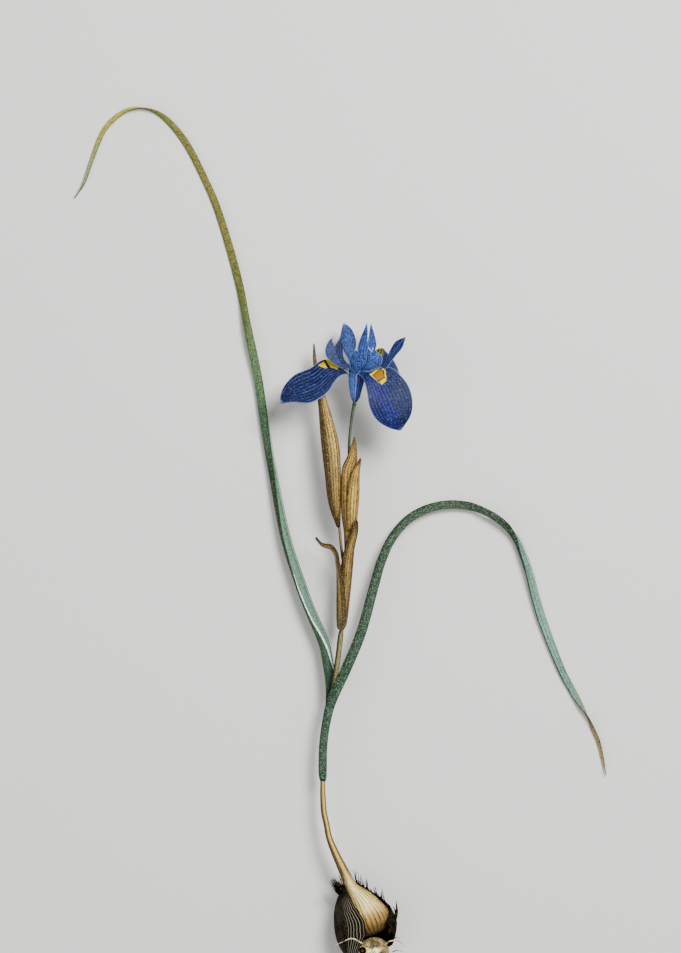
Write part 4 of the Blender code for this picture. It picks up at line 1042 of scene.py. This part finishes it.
def petal_skin(name, main, veins, vein_share, painted_rim=0.25, claw=0.25, marks=(), shaded_half=None, midline=0.0):
    """Blue flesh with grainy shading, painted shade towards the sides and at the foot of the claw, dark and
    pale veins, a pale rim that is a painted highlight, a streaked claw and yellow marks.
    """
    look, wires, shader = new_skin(name, 0.55)
    along, across = wires.surface()
    colour = main
    # Where a shaded half is given, the half past the middle is darker: painted shade.
    if shaded_half:
        colour = wires.mix(wires.step(across, 0.5, 0.56), main, shaded_half)
    cloud = wires.step(wires.clouds(wires.spot(), 380.0), 0.45, 0.65)
    colour = wires.tint(colour, cloud, 0.4, NIGHT)
    # Painted shade: darker towards both side edges.
    shaded_margins = wires.step(wires.sums("PINGPONG", across, 0.5), 0.26, 0.04)
    colour = wires.tint(colour, shaded_margins, 0.5, NIGHT)
    colour = wires.tint(colour, wires.group(grains, size=0.55, cover=0.5), 0.8, NIGHT)
    colour = wires.tint(colour, wires.group(grains, size=0.42, cover=0.25), 0.45, LIGHT)
    stretched = wires.times(along, 2.0)
    between = wires.sums("ADD", across, 0.5 / veins)
    line = wires.group(
        lines, along=stretched, across=between, count=veins, width=0.6, wander=0.02, broken=0.7, seed=1.0
    )
    colour = wires.tint(colour, line, 0.7, NIGHT)
    vein = wires.group(
        lines, along=stretched, across=across, count=veins, width=0.32, wander=0.02, broken=0.7, seed=2.0
    )
    fading = wires.times(wires.step(along, 1.0, 0.6), vein_share)
    colour = wires.tint(colour, vein, fading, LIGHT)
    streak = wires.group(
        lines, along=stretched, across=across, count=3, width=0.5, wander=0.08, broken=0.4, seed=6.0
    )
    foot = wires.step(along, claw + 0.08, claw - 0.04)
    colour = wires.tint(colour, wires.times(streak, foot), 0.75, LIGHT)
    # Painted shade: darker at the very foot of the claw, deep in the cup.
    colour = wires.tint(colour, wires.step(along, claw * 0.5, 0.0), 0.5, NIGHT)
    colour = wires.tint(colour, wires.near(across, 0.5, 0.035, 0.01), midline, LIGHT)
    # Painted highlight: a pale rim along the sides and the end.
    sides = wires.step(wires.sums("PINGPONG", across, 0.5), 0.03, 0.0)
    edge = wires.sums("MAXIMUM", sides, wires.step(along, 0.95, 1.0))
    colour = wires.tint(colour, edge, painted_rim, RIM_HIGHLIGHT)
    if marks:
        centred = {"Vector": wires.spot(), "Location": -THROAT, "Scale": (1 / MM,) * 3}
        place = wires.add("Mapping", centred).outputs[0]
        shift = wires.add("TexNoise", {"Vector": place, "Scale": 1.6, "Detail": 1.0}).outputs[1]
        shift = wires.vectors("SUBTRACT", shift, (0.5, 0.5, 0.5))
        place = wires.vectors("ADD", place, wires.vectors("MULTIPLY", shift, (0.6, 0.6, 0.6)))
        for corners, paint in marks:
            colour = wires.mix(patch(wires, place, corners), colour, paint)
    dress(wires, shader, colour, vein, 0.35)
    return look


def claw_edge(angle):
    """The narrow foot of a petal, up the side of the cup at an angle round the flower."""
    return [
        (radius * math.cos(angle) + CUP_LEAN * height, height, radius * math.sin(angle))
        for height, radius in CLAW
    ]


for name, node, angle, outline, turn, bulge, veins, look in (
    ("left_fall", "fall_left", 180, FALL_LEFT, 1, (0.0, 0.0, 0.0, 0.5, 0.9, 0.4, 0.2), 10,
     petal_skin("Left fall skin", rgb(0, 6, 55), 10, 0.65, 0.3, 0.24, MARKS["fall_left"])),
    ("front_fall", "fall_front", 60, FALL_FRONT, 1, (0.0, 0.0, 0.0, 0.5, -0.9, -0.8, -0.2), 13,
     petal_skin("Front fall skin", rgb(0, 1, 92), 13, 0.35, 0.2, 0.26, MARKS["fall_front"], rgb(0, 14, 57))),
    ("back_fall", "fall_back", -60, FALL_BACK, -1, (0.0, 0.0, 0.0, 0.6, 0.8, 0.8, 0.2), 9,
     petal_skin("Back fall skin", rgb(26, 44, 93), 9, 0.5, 0.3, 0.26, MARKS["fall_back"])),
    ("back_standard", "standard_back", -120, STANDARD_BACK, -1, (0.0, 0.2, 0.5, 0.8, 0.3), 8,
     petal_skin("Back standard skin", rgb(40, 68, 133), 8, 0.5, 0.4, 0.33)),
    ("front_standard", "standard_front", 120, STANDARD_FRONT, 1, (0.0, 0.2, 0.3, 0.5, 0.1), 6,
     petal_skin("Front standard skin", rgb(55, 87, 158), 6, 0.5, 0.8, 0.42, midline=0.3)),
    ("right_standard", "standard_right", 0, STANDARD_RIGHT, -1, (0.0, 0.2, -0.4, -0.6, -0.2), 6,
     petal_skin("Right standard skin", rgb(23, 34, 83), 6, 0.3, 0.2, 0.31, midline=0.8)),
):
    side = math.radians(angle)
    left = claw_edge(side + turn * CLAW_SPREAD) + list(outline[0])
    right = claw_edge(side - turn * CLAW_SPREAD) + list(outline[1])
    petal = between_edges(
        name, left, right, bulge, PETAL_ROWS, veins, PETAL_RELIEF, [look], origin=THROAT
    )
    seat(petal, "petal", [node])

# The style: one column up the middle of the cup. It parts into three petal-like arms, one over each fall, and
# every arm ends in two crests. It is as soft as the petals, and paler at its edges, a painted highlight; the
# left arm is darker over one half, painted shade.

STYLE_COLUMN = ((-0.7, -9.8, 0, 0.25), (-0.4, -6, 0, 0.35), (-0.1, -1.4, 0, 0.6), (0, -0.9, 0, 0.4))
STYLE_LEFT = (
    ((-0.3, -1.6, 0.3), (-2.4, 0.8, 0.7), (-6.7, 2.0, 1.2), (-10.4, 4.9, 0.8), (-11.1, 6.8, 0.4),
     (-10.9, 8.7, -0.2), (-9.8, 10.8, -0.8), (-8.3, 12.3, -1.4)),
    ((-0.3, -1.6, -0.3), (-1.8, 1.4, -0.6), (-4.0, 3.6, -1.3), (-4.9, 6.0, -2.0), (-4.9, 9.6, -2.8),
     (-5.5, 12.0, -3.2), (-5.8, 13.1, -3.4)),
)
STYLE_FRONT = (
    ((-0.1, -1.6, 0.4), (1.4, 1.0, 2.5), (3.0, 2.9, 5.0), (3.5, 6.3, 7.0), (4.0, 8.7, 8.0)),
    ((0.4, -1.6, 0.1), (2.4, 1.2, 2.2), (5.3, 1.4, 5.2), (8.1, 2.5, 6.4), (8.8, 4.0, 7.0), (8.6, 5.5, 7.3),
     (7.0, 6.8, 7.7), (5.8, 8.0, 8.0), (5.5, 8.7, 8.1)),
)
STYLE_BACK = (
    ((-0.1, -1.6, -0.4), (0.8, 1.8, -2.2), (1.0, 5.0, -3.6), (0.3, 7.8, -4.4), (1.0, 11.0, -5.4),
     (2.9, 15.6, -6.7), (3.5, 17.2, -7.0)),
    ((0.4, -1.6, -0.1), (2.6, 1.6, -1.4), (5.2, 4.8, -2.2), (6.5, 8.0, -3.2), (6.8, 10.0, -4.2),
     (5.6, 14.9, -6.1), (4.8, 17.0, -6.8)),
)
ARM_ROWS = 90
ARM_VEINS = 7
ARM_RELIEF = 0.04
ARM_BULGE = (0.0, 0.3, 0.4, 0.2)


def from_throat(points):
    """Moves the points of a strand from the flower's throat into the plant's own frame."""
    return [(*(Vector(point[:3]) + THROAT), point[3]) for point in points]


column_skin = petal_skin("Style column skin", LIGHT, ARM_VEINS, 0.3)
seat(strands("style_column", [from_throat(STYLE_COLUMN)], 4), "style", ["styles"], column_skin)
for name, outline, notch, look in (
    ("style_arm_left", STYLE_LEFT, (0.2, 0.02),
     petal_skin("Left arm skin", rgb(38, 53, 98), ARM_VEINS, 0.4, 0.25, 0.1, shaded_half=rgb(1, 11, 49))),
    ("style_arm_front", STYLE_FRONT, (0.08, 0.02),
     petal_skin("Front arm skin", rgb(58, 92, 161), ARM_VEINS, 0.5, 0.9, 0.1)),
    ("style_arm_back", STYLE_BACK, (0.1, 0.3),
     petal_skin("Back arm skin", rgb(40, 72, 144), ARM_VEINS, 0.5, 0.3, 0.1)),
):
    arm = between_edges(
        name, *outline, ARM_BULGE, ARM_ROWS, ARM_VEINS, ARM_RELIEF, [look], notch=notch, origin=THROAT
    )
    seat(arm, "style", ["styles"])

# The stamens: three soft threads, each with a long yellow anther at its end. One hides under every arm of the
# style, and all three are fixed at the foot of the cup.

STAMENS = {
    "left": ((-1.37, -9.2, 0.0, 0.15), (-1.4, -5.0, 0.0, 0.15), (-1.5, -1.6, 0.0, 0.15),
             (-2.8, 0.2, 0.0, 0.15), (-4.7, 1.3, 0.0, 0.32), (-7.0, 2.2, -0.2, 0.26)),
    "front": ((-0.32, -9.2, 0.6, 0.15), (0.2, -5.0, 1.2, 0.15), (0.55, -1.8, 1.4, 0.15),
              (1.55, 0.05, 2.65, 0.15), (3.0, 0.1, 3.9, 0.3), (4.3, 0.1, 4.9, 0.25)),
    "back": ((-0.32, -9.2, -0.6, 0.15), (0.2, -5.0, -1.2, 0.15), (0.55, -1.6, -1.4, 0.15),
             (1.4, 0.2, -2.5, 0.15), (2.6, 1.3, -3.1, 0.3), (4.2, 3.6, -4.2, 0.26)),
}
ANTHER_FROM, ANTHER_FULL = 4.6, 5.6
pollen, wires, shader = new_skin("Stamen skin", 0.7)
dots = wires.group(grains, size=0.3, cover=0.5)
powder = wires.mix(dots, rgb(227, 204, 0), rgb(148, 122, 0))
anther = wires.step(wires.away(wires.spot(), THROAT), ANTHER_FROM, ANTHER_FULL)
dress(wires, shader, wires.mix(anther, rgb(61, 86, 150), powder), dots, 0.3)
for side, points in STAMENS.items():
    filament = strands("filament_" + side, [from_throat(points)], 3)
    seat(filament, "stamen", ["stamen_" + side], pollen)

# The plant lies on a pale level floor, just under its bulb. A lamp on the upper right and a weaker one on the
# left light it in a soft room, and the camera looks straight down on it from far above.

FLOOR_SIZE = 12.0
FLOOR_DROP = 0.05
FLOOR_COLOUR = (0.56, 0.555, 0.54)
bpy.ops.object.select_all(action="DESELECT")
bpy.ops.mesh.primitive_plane_add(size=FLOOR_SIZE, location=(0, 0, -FLOOR_DROP * MM))
floor = bpy.context.object
floor.name = "floor"
pale, wires, shader = new_skin("Pale floor", 0.9)
shader.inputs["Base Color"].default_value = (*FLOOR_COLOUR, 1.0)
floor.data.materials.append(pale)

KEY_FROM = Vector((0.42, 0.62, 0.95))
FILL_FROM = Vector((-0.75, -0.25, 0.8))
LIT_MIDDLE = Vector((0, 0.14, 0))
ROOM_LIGHT = 0.6
for name, place, size, power in (("key", KEY_FROM, 0.45, 30.0), ("fill", FILL_FROM, 0.9, 6.0)):
    bpy.ops.object.light_add(type="AREA", location=place)
    lamp = bpy.context.object
    lamp.name = name
    lamp.data.size = size
    lamp.data.energy = power
    lamp.rotation_euler = (LIT_MIDDLE - place).to_track_quat("-Z", "Y").to_euler()
world = bpy.data.worlds.new("Soft room")
bpy.context.scene.world = world
world.use_nodes = True
room = world.node_tree.nodes["Background"]
room.inputs["Color"].default_value = (1.0, 1.0, 1.0, 1.0)
room.inputs["Strength"].default_value = ROOM_LIGHT

IMAGE_TALL = 0.33355
CAMERA_HIGH = 6.0
PLANT_MIDDLE_HIGH = 0.01
SENSOR = 36.0
MIDDLE = Vector((-0.00875, 0.1559, 0.0))
bpy.ops.object.camera_add(location=MIDDLE + Vector((0, 0, CAMERA_HIGH)), rotation=(0, 0, 0))
camera = bpy.context.object
camera.data.sensor_width = SENSOR
camera.data.lens = SENSOR * (CAMERA_HIGH - PLANT_MIDDLE_HIGH) / IMAGE_TALL
camera.data.clip_end = 50.0
bpy.context.scene.camera = camera
